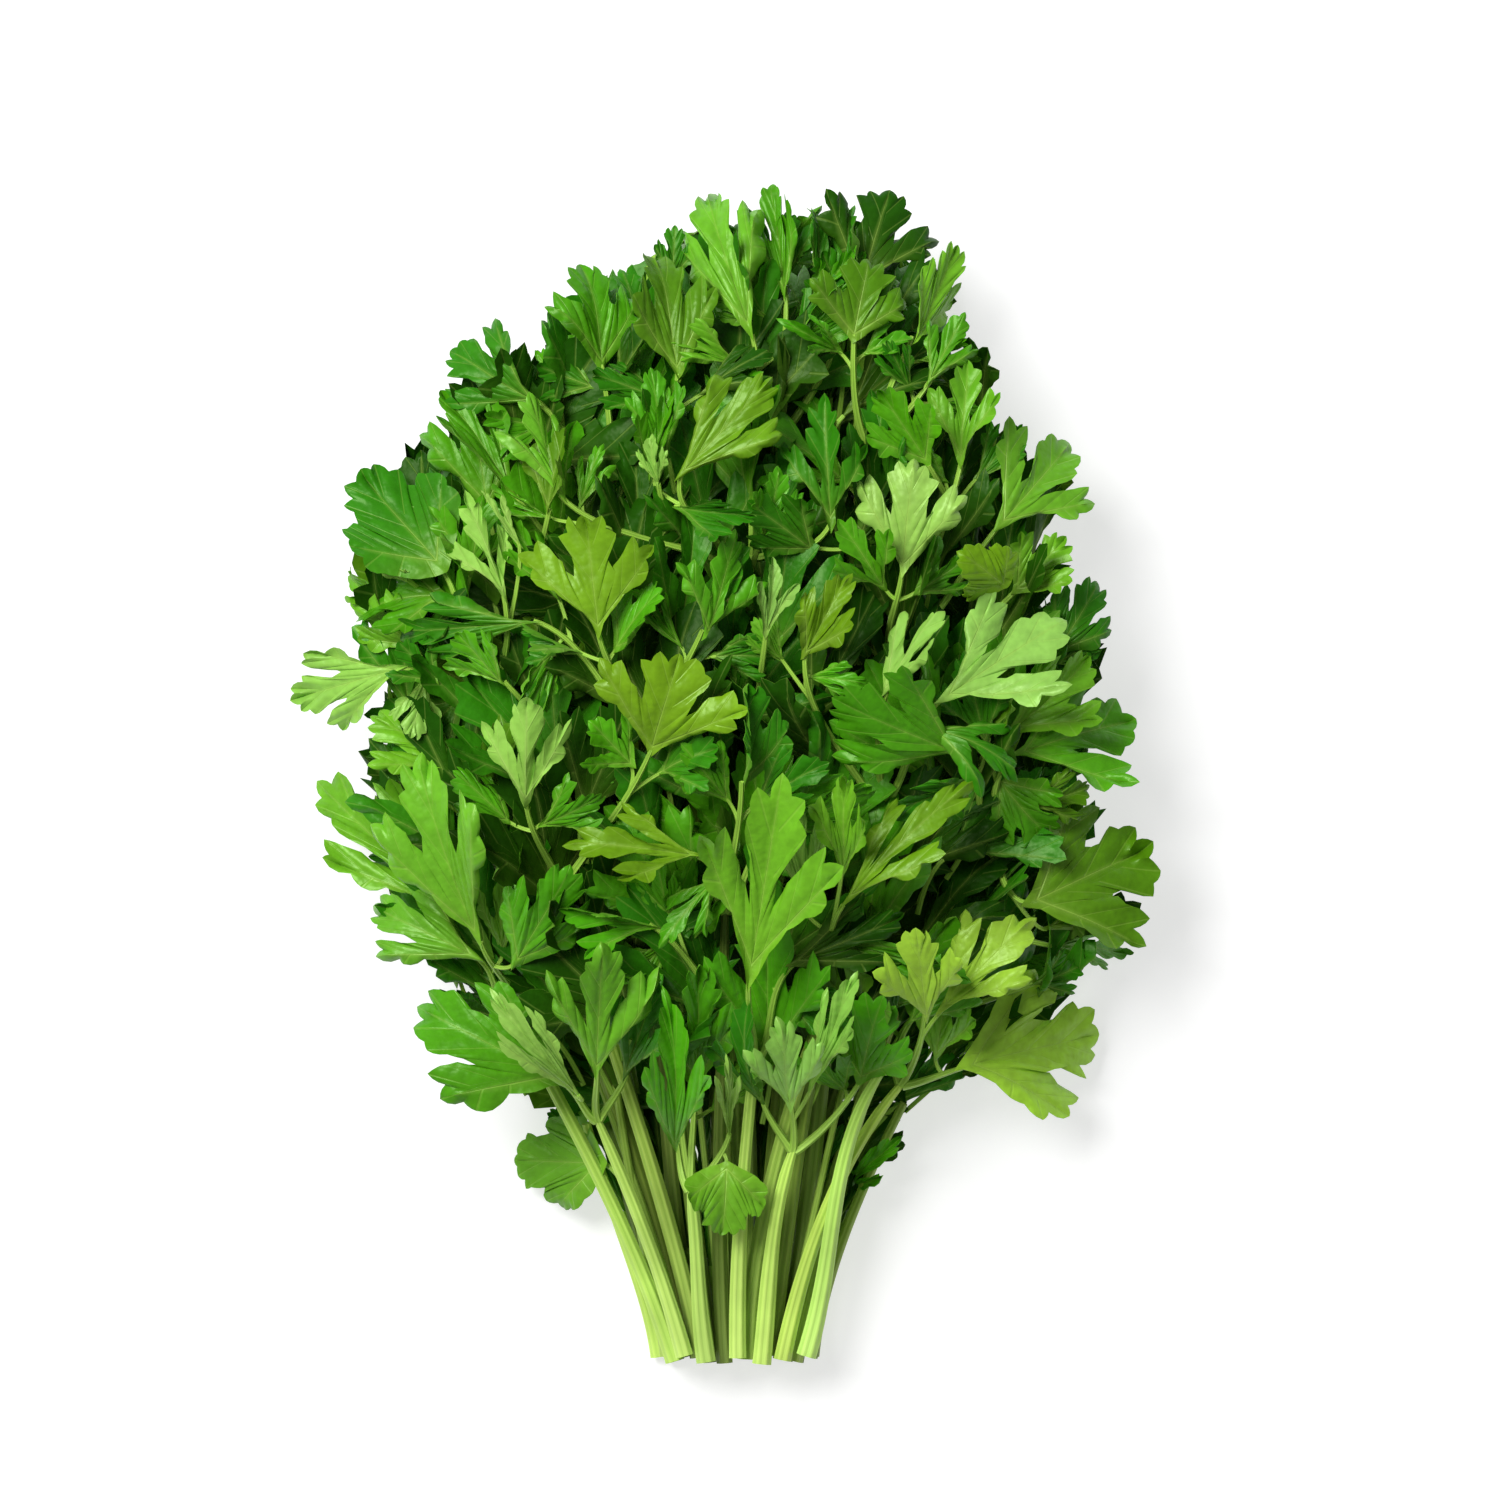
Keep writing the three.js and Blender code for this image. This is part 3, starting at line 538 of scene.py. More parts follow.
def leaflet(tissue, base, tip, width, rng, look, letter):
    """Adds one leaflet from base to tip.

    In its own plane a point goes by the share t from its lobe's midrib straight out to the edge. Its height
    comes from blade_height, and the blade is then twisted along its length.
    """
    habit = bpy.context.scene.parsley_leaves
    green = leaflet_green(letter, rng, habit)
    rows, steps = look["rows"], look["steps"]
    number, quads, loop, count, along, branch = leaflet_grid(rows, steps)
    chord = tip - base
    length = np.linalg.norm(chord)
    edge, tips, vein = leaflet_margin(look["form"], width, length, rng, steps, look["ragged"])
    fork = np.array([0.0, BLADE_FORK * length])
    ends = fork + (tips - fork) * np.array(RIB_SHARES)[:, None]
    rib = fork + (ends[branch] - fork) * along[:, None]
    t = np.linspace(0, 1, rows) ** 0.85
    flat = rib[:, None] + (edge - rib)[:, None] * t[:, None]
    reach = np.linalg.norm(edge - rib, axis=-1)[:, None] * t
    x, y = flat[..., 0], flat[..., 1]
    v = y / length
    out = along[:, None] * np.ones(rows)
    bend = np.array(look["bend"])[branch][:, None]
    phase = rng.uniform(0, 2 * pi, 4)
    z = blade_height(look, length, x, y, t, out, reach, vein, bend, phase)
    x = x * cos(look["fold"])
    turn = look["twist"] * (v - 0.3)
    x, z = x * np.cos(turn) - z * np.sin(turn), z * np.cos(turn) + x * np.sin(turn)

    axis = chord / length
    right = unit(np.cross(axis, UP))
    up = np.cross(right, axis)
    roll = look["roll"] + (pi if look["under"] else 0)
    right, up = right * cos(roll) + up * sin(roll), up * cos(roll) - right * sin(roll)
    thickness = habit.thickness / MM
    half = 0.5 * thickness * (1 - EDGE_THINNING * t**3) * np.ones_like(z)

    def on_blade(values):
        """The values of the grid's places, given to its vertices."""
        given = np.empty((count, values.shape[-1]))
        given[number.ravel()] = values.reshape(-1, values.shape[-1])
        return given

    def sheet(offset):
        """One side of the blade, off its middle by the offset."""
        return on_blade(base + x[..., None] * right + y[..., None] * axis + (z + offset)[..., None] * up)

    greens = on_blade(blade_tints(green, width, x, y, v, t, phase))
    greens[:, 3] = 1
    spread = reach / np.clip(1 - 0.6 * out, 0.3, 1)
    coordinates = on_blade(np.stack([vein[:, None] * np.ones(rows), spread], -1))
    ahead = on_blade((0.12 + 0.88 * out)[..., None]).ravel()
    wall = np.stack([loop[:-1] + count, loop[1:] + count, loop[1:], loop[:-1]], -1)
    points = np.concatenate([sheet(half), sheet(-half)])
    points[:, 2] = settle(points[:, 2])
    faces = np.concatenate([quads, flipped(quads) + count, wall])
    tissue.add(
        points, faces, np.concatenate([coordinates] * 2)[faces], np.concatenate([greens] * 2),
        np.repeat([0.0, 1.0], count), FIRST, np.concatenate([ahead] * 2),
    )


def flipped(quads):
    """Quads turned to face the other way, with a triangle's doubled corner kept last."""
    turned = quads[:, [0, 3, 2, 1]]
    triangle = quads[:, 2] == quads[:, 3]
    turned[triangle] = quads[triangle][:, [0, 2, 1, 1]]
    return turned


def settle(height):
    """Keeps tissue above the table: heights near or below it level off softly a little above it."""
    above = height - TABLE_GAP
    return TABLE_GAP + 0.5 * (above + np.sqrt(above**2 + TABLE_SOFTNESS))


# ---------------------------------------------------------------- stems and stalks

# The groove's depth goes by the rib depth, and its width by the way round. A cut end has two rings between
# rim and middle: their size as shares, and how far in mm each and the middle is sunk. The depths are the
# second surface coordinate from the rim to the middle.
GROOVE_DEPTH, GROOVE_WIDTH, STALK_RIB_DEPTH = 1.6, 0.055, 0.06
CUT_RINGS, CUT_SINKS = np.array([0.72, 0.4]), np.array([0.12, 0.16, 0.18])
CUT_DEPTHS = -np.array([0.0, 0.28, 0.6, 1.0])


def patch_corners(low, high, start, end):
    """Surface coordinates at the four corners of quads, from two places round a tube and two along it."""
    return np.stack([
        np.stack(pair, -1) for pair in ((low, start), (low, end), (high, end), (high, start))
    ], 1)


def tube(tissue, path, radius, sides, ribs, rib_depth, green, finish, foot_finish):
    """Adds a tube: a round profile with ribs and one groove on top, carried along a path and closed.

    The profile's radius is the path's radius times one plus the rib depth times the cosine of the rib count
    times the angle from the underside. Each end is closed by rings of its own and a middle point, sunk a
    little as a cut stem dries. The first surface coordinate goes once round the tube, from its underside;
    the second is the way along it in mm, and falls below zero from an end's rim to its middle.
    """
    path = np.asarray(path, float)
    ahead = unit(np.gradient(path, axis=0))
    right = unit(np.cross(ahead, UP))
    up = np.cross(right, ahead)
    turn = np.arange(sides) / sides
    angle = 2 * pi * turn - pi / 2
    groove = GROOVE_DEPTH * rib_depth * np.exp(-(((turn - 0.5) / GROOVE_WIDTH) ** 2))
    relief = 1 + rib_depth * np.cos(2 * pi * ribs * turn) - groove
    count = len(path)
    outward = right[:, None] * np.cos(angle)[:, None] + up[:, None] * np.sin(angle)[:, None]
    wall = path[:, None] + (np.broadcast_to(radius, count)[:, None] * relief)[..., None] * outward
    run = np.concatenate([[0], np.cumsum(np.linalg.norm(np.diff(path, axis=0), axis=-1))])
    index = np.arange(count * sides).reshape(count, sides)
    after = np.roll(index, -1, axis=1)
    next_turn = turn + 1 / sides
    quads = [np.stack([index[:-1], index[1:], after[1:], after[:-1]], -1).reshape(-1, 4)]
    surface = [patch_corners(
        np.tile(turn, count - 1), np.tile(next_turn, count - 1),
        np.repeat(run[:-1], sides), np.repeat(run[1:], sides),
    )]
    points = [wall.reshape(-1, 3)]
    number = count * sides
    for end_index, way in ((0, 1), (count - 1, -1)):
        ring = wall[end_index]
        middle = ring.mean(0)
        inward = ahead[end_index] * way
        disc = middle + (ring - middle) * CUT_RINGS[:, None, None] + inward * CUT_SINKS[:2, None, None]
        hub = middle + inward * CUT_SINKS[2]
        points += [disc.reshape(-1, 3), hub[None]]
        rings = np.concatenate([index[end_index][None], number + np.arange(2 * sides).reshape(2, sides)])
        beside = np.roll(rings, -1, axis=1)
        centre = np.full(sides, number + 2 * sides)
        faces = np.concatenate([
            np.stack([rings[:-1], beside[:-1], beside[1:], rings[1:]], -1).reshape(-1, 4),
            np.stack([rings[-1], beside[-1], centre, centre], -1),
        ])
        outer, inner = np.repeat(CUT_DEPTHS[:-1], sides), np.repeat(CUT_DEPTHS[1:], sides)
        discs = patch_corners(np.tile(turn, 3), np.tile(next_turn, 3), outer, inner)[:, [0, 3, 2, 1]]
        if way < 0:
            faces = flipped(faces)
            discs = discs[:, [0, 3, 2, 1]]
        quads.append(faces)
        surface.append(discs)
        number += 2 * sides + 1
    points = np.concatenate(points)
    points[:, 2] = settle(points[:, 2])
    finishes = np.repeat([finish, foot_finish, finish], [len(part) for part in quads])
    tissue.add(points, np.concatenate(quads), np.concatenate(surface), green, 0.0, finishes)


def stalk(tissue, path, radius, sides, ribs=3):
    """Adds a leafstalk's tube in stem skin."""
    tube(tissue, path, radius, sides, ribs, STALK_RIB_DEPTH, STALK_TONE, SECOND, SECOND)


def stem_heading(fork):
    """The direction in which a stem reaches its fork. The right-hand ones bend out further."""
    outward = OUTWARD + OUTWARD_RIGHT * max(0.0, fork[0])
    return unit(np.array([fork[0] * outward, fork[1] - BUNCH_FOOT_Y, STEM_CLIMB]))


# Stems, by column and row, that lie a little beside their place in the bundle, in millimetres.
STEM_SHIFTS = {(0, 3): -0.5, (1, 3): -0.7, (2, 3): 0.6, (3, 3): 0.3, (4, 3): -0.3}


def stem_path(column, row, fork, count):
    """A stem's path: straight out of the bundle, then a smooth bend towards its fork."""
    offset = BUNDLE_PITCH_X / 2 if row % 2 else 0.0
    offset = offset + STEM_SHIFTS.get((column, row), 0.0)
    uneven = CUT_UNEVENNESS * ((column * 2 + row * 3) % 5) / 4
    foot = np.array([
        BUNDLE_LEFT_X + offset + column * BUNDLE_PITCH_X, BUNCH_FOOT_Y + uneven,
        STEM_FOOT_RADIUS + row * BUNDLE_PITCH_Z,
    ])
    foot = foot + np.array([sin(5 * column + 2 * row), 0.0, 1.0 + sin(3 * column + 4 * row)]) * FOOT_JITTER
    fork = np.array(fork, float)
    reach = np.linalg.norm(foot - fork) / 3
    lean = np.array([(foot[0] - BUNDLE_MIDDLE_X) * SPLAY, 1.0, 0.0])
    return bezier([foot, foot + lean * reach, fork - stem_heading(fork) * reach, fork], count)


def stalk_start(fork, side):
    """Where a pinna's stalk grows out of the stem's end, and in which direction."""
    heading = stem_heading(fork)
    right = unit(np.cross(heading, UP))
    point = np.array(fork, float) - heading * FORK_DEPTH + right * side * FORK_SPREAD
    return point, unit(heading + right * side * FORK_OPENING)


# ---------------------------------------------------------------- pinnae

# The stalk's handles as a share of its length, its thickness from end to end and its ribs, and how much the
# tips of further leaflets vary in height, and the side leaflets in direction and length.
STALK_BEND, STALK_TAPER, STALK_RIBS = 0.3, (1.3, 0.7), 5
TIP_SPREAD, SIDE_SWING, SIDE_LENGTHS = 4, 0.14, (0.92, 1.2)
# What a leaflet's habit is drawn from: its arch as a share of its length, the share of nearly flat ones and
# how far the others are folded up, its droop, the raggedness of its edge and its breadth against the plan's.
ARCHES, NEARLY_FLAT, STEEP_FOLDS, MOST_ROLL = (0.03, 0.10), 0.75, (0.5, 1.0), 1.0
DROOPS, RAGGEDNESS, BREADTH = (-0.16, 0.08), 0.014, 1.24


def with_side_leaflets(leaflets, turns):
    """The pinna's leaflets with its side ones: turned to a side of the first, smaller and a little deeper."""
    made = [tuple(map(float, leaflet_row)) for leaflet_row in leaflets]
    base_x, base_y, tip_x, tip_y, width, depth = made[0]
    base, rib = np.array([base_x, base_y]), np.array([tip_x - base_x, tip_y - base_y])
    for turn in turns:
        across = np.array([-rib[1], rib[0]]) * turn
        side_base = base - rib * SIDE_BACK + across * SIDE_APART
        c, s = cos(turn * SIDE_ANGLE), sin(turn * SIDE_ANGLE)
        side_tip = side_base + SIDE_SIZE * np.array([rib[0] * c - rib[1] * s, rib[0] * s + rib[1] * c])
        made.append((*side_base, *side_tip, width * SIDE_SIZE, depth + SIDE_DEEPER))
    return made


def leaflet_ends(row, floor=False, lift=0.0):
    """A leaflet's base and tip, on the floor or at its depth below the top of the heap, plus the lift."""
    base_x, base_y, tip_x, tip_y, _, depth = row
    base_z = FLOOR_BASE_Z if floor else heap_height(base_x, base_y) - BASE_SINK - depth * LAYER_DEPTH
    tip_z = FLOOR_TIP_Z if floor else heap_height(tip_x, tip_y) - TIP_SINK - depth * LAYER_DEPTH
    return np.array([base_x, base_y, base_z + lift]), np.array([tip_x, tip_y, tip_z + lift])


def tip_height(node, x, y):
    """Mean height of a CAD node's points close to a place, in millimetres."""
    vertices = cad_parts[node].data.vertices
    points = np.empty(len(vertices) * 3, np.float32)
    vertices.foreach_get("co", points)
    points = points.reshape(-1, 3) / MM
    gap = np.hypot(points[:, 0] - x, points[:, 1] - y)
    return points[gap < gap.min() + 0.6, 2].mean()


def leaf_look(rng, letter, detail):
    """One leaflet's own habit, drawn round the settings, and how finely it is made."""
    settings = bpy.context.scene.parsley_leaves
    return {
        "form": str(rng.choice(list(FORM_SHARES), p=list(FORM_SHARES.values()))),
        "ragged": RAGGEDNESS,
        "arch": rng.uniform(*ARCHES),
        "fold": rng.uniform(-0.1, settings.fold) if rng.random() < NEARLY_FLAT else rng.uniform(*STEEP_FOLDS),
        "bend": rng.uniform(-settings.lobe_bend, settings.lobe_bend, 3),
        "ruffle": rng.uniform(0.3, 1.0) * settings.ruffle,
        "droop": rng.uniform(*DROOPS),
        "twist": rng.normal(0, settings.twist),
        "roll": float(np.clip(rng.normal(0, settings.roll), -MOST_ROLL, MOST_ROLL)),
        "under": letter.islower(),
        "rise": 0.0,
        "tip_rise": 0.0,
        "stretch": 1.0,
        "broad": BREADTH,
        "rows": detail[0],
        "steps": detail[1],
    }


def leaflet_green(letter, rng, settings):
    """The letter's green with a little of this leaflet's own."""
    colour = np.array(getattr(settings, GREENS[letter.upper()]))
    colour = colour * rng.uniform(0.88, 1.12)
    colour = colour * np.array([rng.uniform(0.92, 1.08), 1.0, rng.uniform(0.85, 1.15)])
    return (*np.clip(colour, 0, 1), 1.0)


def pinna(number, side, fork, floor, spec, in_frame):
    """One pinna: its stalk, the short stalks of its leaflets and the leaflets themselves.

    Where it stands for a CAD node it is lifted until its first leaflet's tip is at the height of the node's.
    """
    cad_node = f"pinna_{number}_{side}" if in_frame else None
    leaflets, turns, letters = spec
    rows = with_side_leaflets(leaflets, turns)
    lift = 0.0
    if cad_node:
        plain = leaflet_ends(rows[0], floor, 0.0)[1]
        lift = tip_height(cad_node, plain[0], plain[1]) - plain[2]
    rng = np.random.default_rng(int(number) * 10 + SIDE_OF[side])
    start, direction = stalk_start(fork, SIDE_OF[side])
    first_base, first_tip = leaflet_ends(rows[0], floor, lift)
    rib = unit(first_tip - first_base)
    reach = np.linalg.norm(start - first_base) * STALK_BEND
    straight = unit(first_base - start)
    leaving, arriving = unit(direction + straight), unit(rib + straight)
    main_stalk = bezier(
        [start, start + leaving * reach, first_base - arriving * reach, first_base + rib * STALK_OVERLAP],
        STALK_RINGS,
    )
    tissue = Tissue()
    stalk(tissue, main_stalk, STALK_RADIUS * np.linspace(*STALK_TAPER, STALK_RINGS), STALK_SIDES, STALK_RIBS)
    for index, (row, letter) in enumerate(zip(rows, letters)):
        base, tip = leaflet_ends(row, floor, lift)
        look = leaf_look(rng, letter, FINE)
        place = (f"{number}_{side}", index)
        look.update(zip(OPEN_HABIT, OPEN_LEAFLETS.get(place, ())))
        look.update(OPEN_LEAFLET_WAYS.get(place, {}))
        tip = tip + UP * look["tip_rise"]
        base, tip = base + UP * look["rise"], tip + UP * look["rise"]
        tip = base + (tip - base) * look["stretch"]
        if index and not cad_node:
            tip[2] += rng.normal(0, TIP_SPREAD)
        if index >= len(leaflets):
            swing = np.append(np.cross([0, 0, rng.normal(0, SIDE_SWING)], tip - base)[:2], 0)
            tip = base + (tip - base + swing) * rng.uniform(*SIDE_LENGTHS)
        leaflet(tissue, base, tip, row[4] * look["broad"], rng, look, letter)
        rib = unit(tip - base)
        if index:
            joint = main_stalk[LEAFLET_RING]
            path = bezier([joint, base - rib, base + rib * STALK_OVERLAP], PETIOLULE_RINGS)
            radii = np.linspace(PETIOLULE_RADIUS, PETIOLULE_RADIUS * 0.75, PETIOLULE_RINGS)
            stalk(tissue, path, radii, PETIOLULE_SIDES)
    return plant_piece(f"frond_{number}_{side}", tissue, "leaf", cad_node)


# ---------------------------------------------------------------- materials

# Inputs go by name or by number. A MapRange takes i0 from the range i1 to i2 into the range i3 to i4, and a
# colour Mix goes from i6 to i7 by the share i0.
COLOUR, SMOOTH = {"data_type": "RGBA"}, {"interpolation_type": "SMOOTHSTEP"}
SCALE, MULTIPLY, MULTIPLY_ADD = ({"operation": word} for word in ("SCALE", "MULTIPLY", "MULTIPLY_ADD"))


def node(tree, kind, settings=None, **inputs):
    """Adds a node, sets its properties and fills its inputs with values or links.

    A node given for an input is linked by the first of its outputs that is in use.
    """
    made = tree.nodes.new("ShaderNode" + kind)
    for key, value in (settings or {}).items():
        setattr(made, key, value)
    for key, value in inputs.items():
        socket = made.inputs[int(key[1:]) if key[0] == "i" and key[1:].isdigit() else key.replace("_", " ")]
        if isinstance(value, bpy.types.Node):
            value = next(output for output in value.outputs if output.enabled)
        if isinstance(value, bpy.types.NodeSocket):
            tree.links.new(value, socket)
        else:
            socket.default_value = value
    return made


def new_material(name):
    """A material whose tree is still empty."""
    material = bpy.data.materials.new(name)
    material.use_nodes = True
    material.node_tree.nodes.clear()
    return material


def leaf_blade_material(settings):
    """Leaf blade of flat-leaf parsley: a thin, slightly waxy cuticle over soft green tissue.

    The eye sees broad soft highlights on the upper side, fine pale impressed veins, a finely puckered
    surface, and a paler, duller underside with raised veins. Light glows through it a little.
    """
    tree = new_material("parsley_leaf_blade").node_tree
    surface = node(tree, "UVMap", {"uv_map": "surface"})
    number, off_rib = node(tree, "SeparateXYZ", i0=surface).outputs[:2]
    own = node(tree, "Attribute", {"attribute_name": "blade_green"})
    under = node(tree, "Attribute", {"attribute_name": "underside"}).outputs["Fac"]
    place = node(tree, "TexCoord").outputs["Object"]

    # Main veins run along each lobe's midrib, 0.3 mm to each side. Side veins go to the teeth, one at each
    # whole number of the first surface coordinate. They are drawn about twice as wide as real ones, so that
    # they show.
    ahead = node(tree, "Attribute", {"attribute_name": "toward_tip"}).outputs["Fac"]
    taper = node(tree, "MapRange", i0=ahead, i1=0.0, i2=1.0, i3=0.62, i4=0.16)
    main = node(tree, "MapRange", SMOOTH, i0=off_rib, i1=0.06, i2=taper, i3=1.0, i4=0.0)
    saw = node(tree, "Math", {"operation": "PINGPONG"}, i0=number, i1=0.5)
    side = node(tree, "MapRange", SMOOTH, i0=saw, i1=0.01, i2=0.06, i3=0.55, i4=0.0)
    veins = node(tree, "Math", {"operation": "MAXIMUM"}, i0=main, i1=side)
    shoulder = node(tree, "MapRange", SMOOTH, i0=off_rib, i1=0.2, i2=2.2, i3=0.13, i4=0.0)

    # The pucker of the tissue between the finest veins, 1.5 mm across.
    pucker = node(tree, "TexNoise", i0=place, Scale=640.0, Detail=1.0, Roughness=0.4)
    mottle = node(tree, "MapRange", i0=pucker, i1=0.3, i2=0.7, i3=0.93, i4=1.07)
    tissue = node(tree, "VectorMath", SCALE, i0=own, Scale=mottle)
    veined = node(tree, "Math", MULTIPLY_ADD, i0=veins, i1=settings.vein_show, i2=shoulder)
    upper = node(tree, "Mix", COLOUR, i0=veined, i6=tissue, i7=linear("#b5d860"))
    lower_tissue = node(tree, "Mix", COLOUR, i0=settings.underside_pale, i6=tissue, i7=linear("#93cc42"))
    lower = node(tree, "Mix", COLOUR, i0=veined, i6=lower_tissue, i7=linear("#cbe880"))
    colour = node(tree, "Mix", COLOUR, i0=under, i6=upper, i7=lower)

    # Relief: veins are pressed in above and stand out below.
    turned = node(tree, "MapRange", i0=under, i1=0.0, i2=1.0, i3=-0.8, i4=0.8)
    relief = node(tree, "Math", MULTIPLY, i0=veins, i1=turned)
    height = node(tree, "Math", MULTIPLY_ADD, i0=pucker, i1=1.1, i2=relief)
    bump = node(tree, "Bump", Strength=0.42, Distance=0.0004, Height=height)

    rough = node(tree, "MapRange", i0=under, i1=0.0, i2=1.0, i3=settings.gloss_roughness, i4=0.62)
    # The wax is worn on the old, dark blades.
    wax = node(tree, "MapRange", i0=own.outputs["Fac"], i1=0.03, i2=0.16, i3=0.16, i4=0.62)
    skin = node(
        tree, "BsdfPrincipled", Base_Color=colour, Roughness=rough, IOR=1.45, Specular_IOR_Level=wax,
        Specular_Tint=(0.75, 1.0, 0.5, 1.0), Normal=bump,
    )
    through = node(tree, "BsdfTranslucent", Color=colour, Normal=bump)
    mixed = node(tree, "MixShader", i0=settings.see_through, i1=skin, i2=through)
    node(tree, "OutputMaterial", Surface=mixed)


def stem_material(settings):
    """Parsley stem skin: smooth, faintly waxy, juicy green with fine fibres running along it.

    The eye sees long pale ridges, darker furrows, a thin wet-looking gleam and a paler foot.
    """
    tree = new_material("parsley_stem_skin").node_tree
    surface = node(tree, "UVMap", {"uv_map": "surface"})
    place = node(tree, "TexCoord").outputs["Object"]
    round_stem = node(tree, "SeparateXYZ", i0=surface)
    fibre_map = node(tree, "Mapping", i0=surface, Scale=(38.0, 0.05, 1.0))
    fibres = node(tree, "TexNoise", i0=fibre_map, Scale=1.0, Detail=3.0, Roughness=0.6)
    clouds = node(tree, "TexNoise", i0=place, Scale=70.0, Detail=2.0)
    ribs = node(tree, "Math", MULTIPLY, i0=round_stem, i1=2 * pi * 7)
    crest = node(tree, "Math", {"operation": "COSINE"}, i0=ribs)
    ridge = node(tree, "MapRange", i0=crest, i1=-1.0, i2=1.0, i3=0.0, i4=1.0)
    streaks = node(tree, "MapRange", i0=fibres, i1=0.3, i2=0.7, i3=0.0, i4=1.0)
    half_streaks = node(tree, "Math", MULTIPLY, i0=streaks, i1=0.5)
    lightness = node(tree, "Math", MULTIPLY_ADD, i0=ridge, i1=0.5, i2=half_streaks)
    green = node(tree, "Mix", COLOUR, i0=lightness, i6=(*settings.furrow, 1.0), i7=(*settings.ridge, 1.0))
    along = node(tree, "SeparateXYZ", i0=place).outputs[1]
    foot = node(tree, "MapRange", i0=along, i1=-0.118, i2=-0.05, i3=0.42, i4=0.0)
    footed = node(tree, "Mix", COLOUR, i0=foot, i6=green, i7=linear("#cde58a"))
    cloud = node(tree, "MapRange", i0=clouds, i1=0.3, i2=0.7, i3=0.85, i4=1.12)
    clouded = node(tree, "VectorMath", SCALE, i0=footed, Scale=cloud)
    own = node(tree, "Attribute", {"attribute_name": "blade_green"})
    colour = node(tree, "VectorMath", MULTIPLY, i0=clouded, i1=own)
    bump = node(tree, "Bump", Strength=0.4, Distance=0.0003, Height=lightness)
    skin = node(
        tree, "BsdfPrincipled", Base_Color=colour, Roughness=0.36, IOR=1.45, Normal=bump,
        Specular_IOR_Level=0.4, Specular_Tint=(0.85, 1.0, 0.6, 1.0),
    )
    node(tree, "OutputMaterial", Surface=skin)


def cut_material():
    """Freshly cut stem end: wet, pale pith inside a ring of green vessels."""
    tree = new_material("parsley_stem_cut").node_tree
    surface = node(tree, "UVMap", {"uv_map": "surface"})
    inward = node(tree, "SeparateXYZ", i0=surface).outputs[1]
    place = node(tree, "TexCoord").outputs["Object"]
    cells = node(tree, "TexVoronoi", i0=place, Scale=2600.0)
    ring = node(tree, "MapRange", i0=inward, i1=-0.4, i2=-0.05, i3=0.0, i4=1.0)
    pith = node(tree, "Mix", COLOUR, i0=ring, i6=linear("#dbe8b4"), i7=linear("#9cc05a"))
    dotted = node(tree, "MapRange", i0=cells, i1=0.0, i2=0.7, i3=0.86, i4=1.04)
    colour = node(tree, "VectorMath", SCALE, i0=pith, Scale=dotted)
    bump = node(tree, "Bump", Strength=0.5, Distance=0.0002, Height=cells)
    skin = node(tree, "BsdfPrincipled", Base_Color=colour, Roughness=0.3, IOR=1.38, Normal=bump)
    node(tree, "OutputMaterial", Surface=skin)


def paper_material():
    """Matt white studio paper: an even, glare-free white with the faintest tooth. It also glows evenly, a
    painted light that lifts the bunch's shadow on it.
    """
    material = new_material("studio_paper_matt_white")
    tree = material.node_tree
    place = node(tree, "TexCoord").outputs["Object"]
    grain = node(tree, "TexNoise", i0=place, Scale=900.0, Detail=2.0)
    tone = node(tree, "MapRange", i0=grain, i3=0.45, i4=0.47)
    colour = node(tree, "CombineColor", i0=tone, i1=tone, i2=tone)
    # The emission makes the paper glow: painted light that lightens the bunch's shadow on it.
    skin = node(
        tree, "BsdfPrincipled", Base_Color=colour, Roughness=0.9, Specular_IOR_Level=0.1,
        Emission_Color=(1.0, 1.0, 1.0, 1.0), Emission_Strength=0.64,
    )
    node(tree, "OutputMaterial", Surface=skin)
    return material


# ---------------------------------------------------------------- settings


def length_setting(name, description, metres):
    """A length in the panel."""
    return bpy.props.FloatProperty(
        name=name, description=description, default=metres, min=0.0001, unit="LENGTH", subtype="DISTANCE"
    )


def angle_setting(name, description, angle):
    """An angle in the panel."""
    return bpy.props.FloatProperty(
        name=name, description=description, default=angle, unit="ROTATION", subtype="ANGLE"
    )


def share_setting(name, description, share):
    """A share from 0 to 1 in the panel."""
    return bpy.props.FloatProperty(
        name=name, description=description, default=share, min=0, max=1, subtype="FACTOR"
    )


def colour_setting(name, description, colour_hex):
    """A colour in the panel, from its sRGB hex."""
    return bpy.props.FloatVectorProperty(
        name=name, description=description, default=linear(colour_hex)[:3], min=0, max=1, size=3,
        subtype="COLOR",
    )


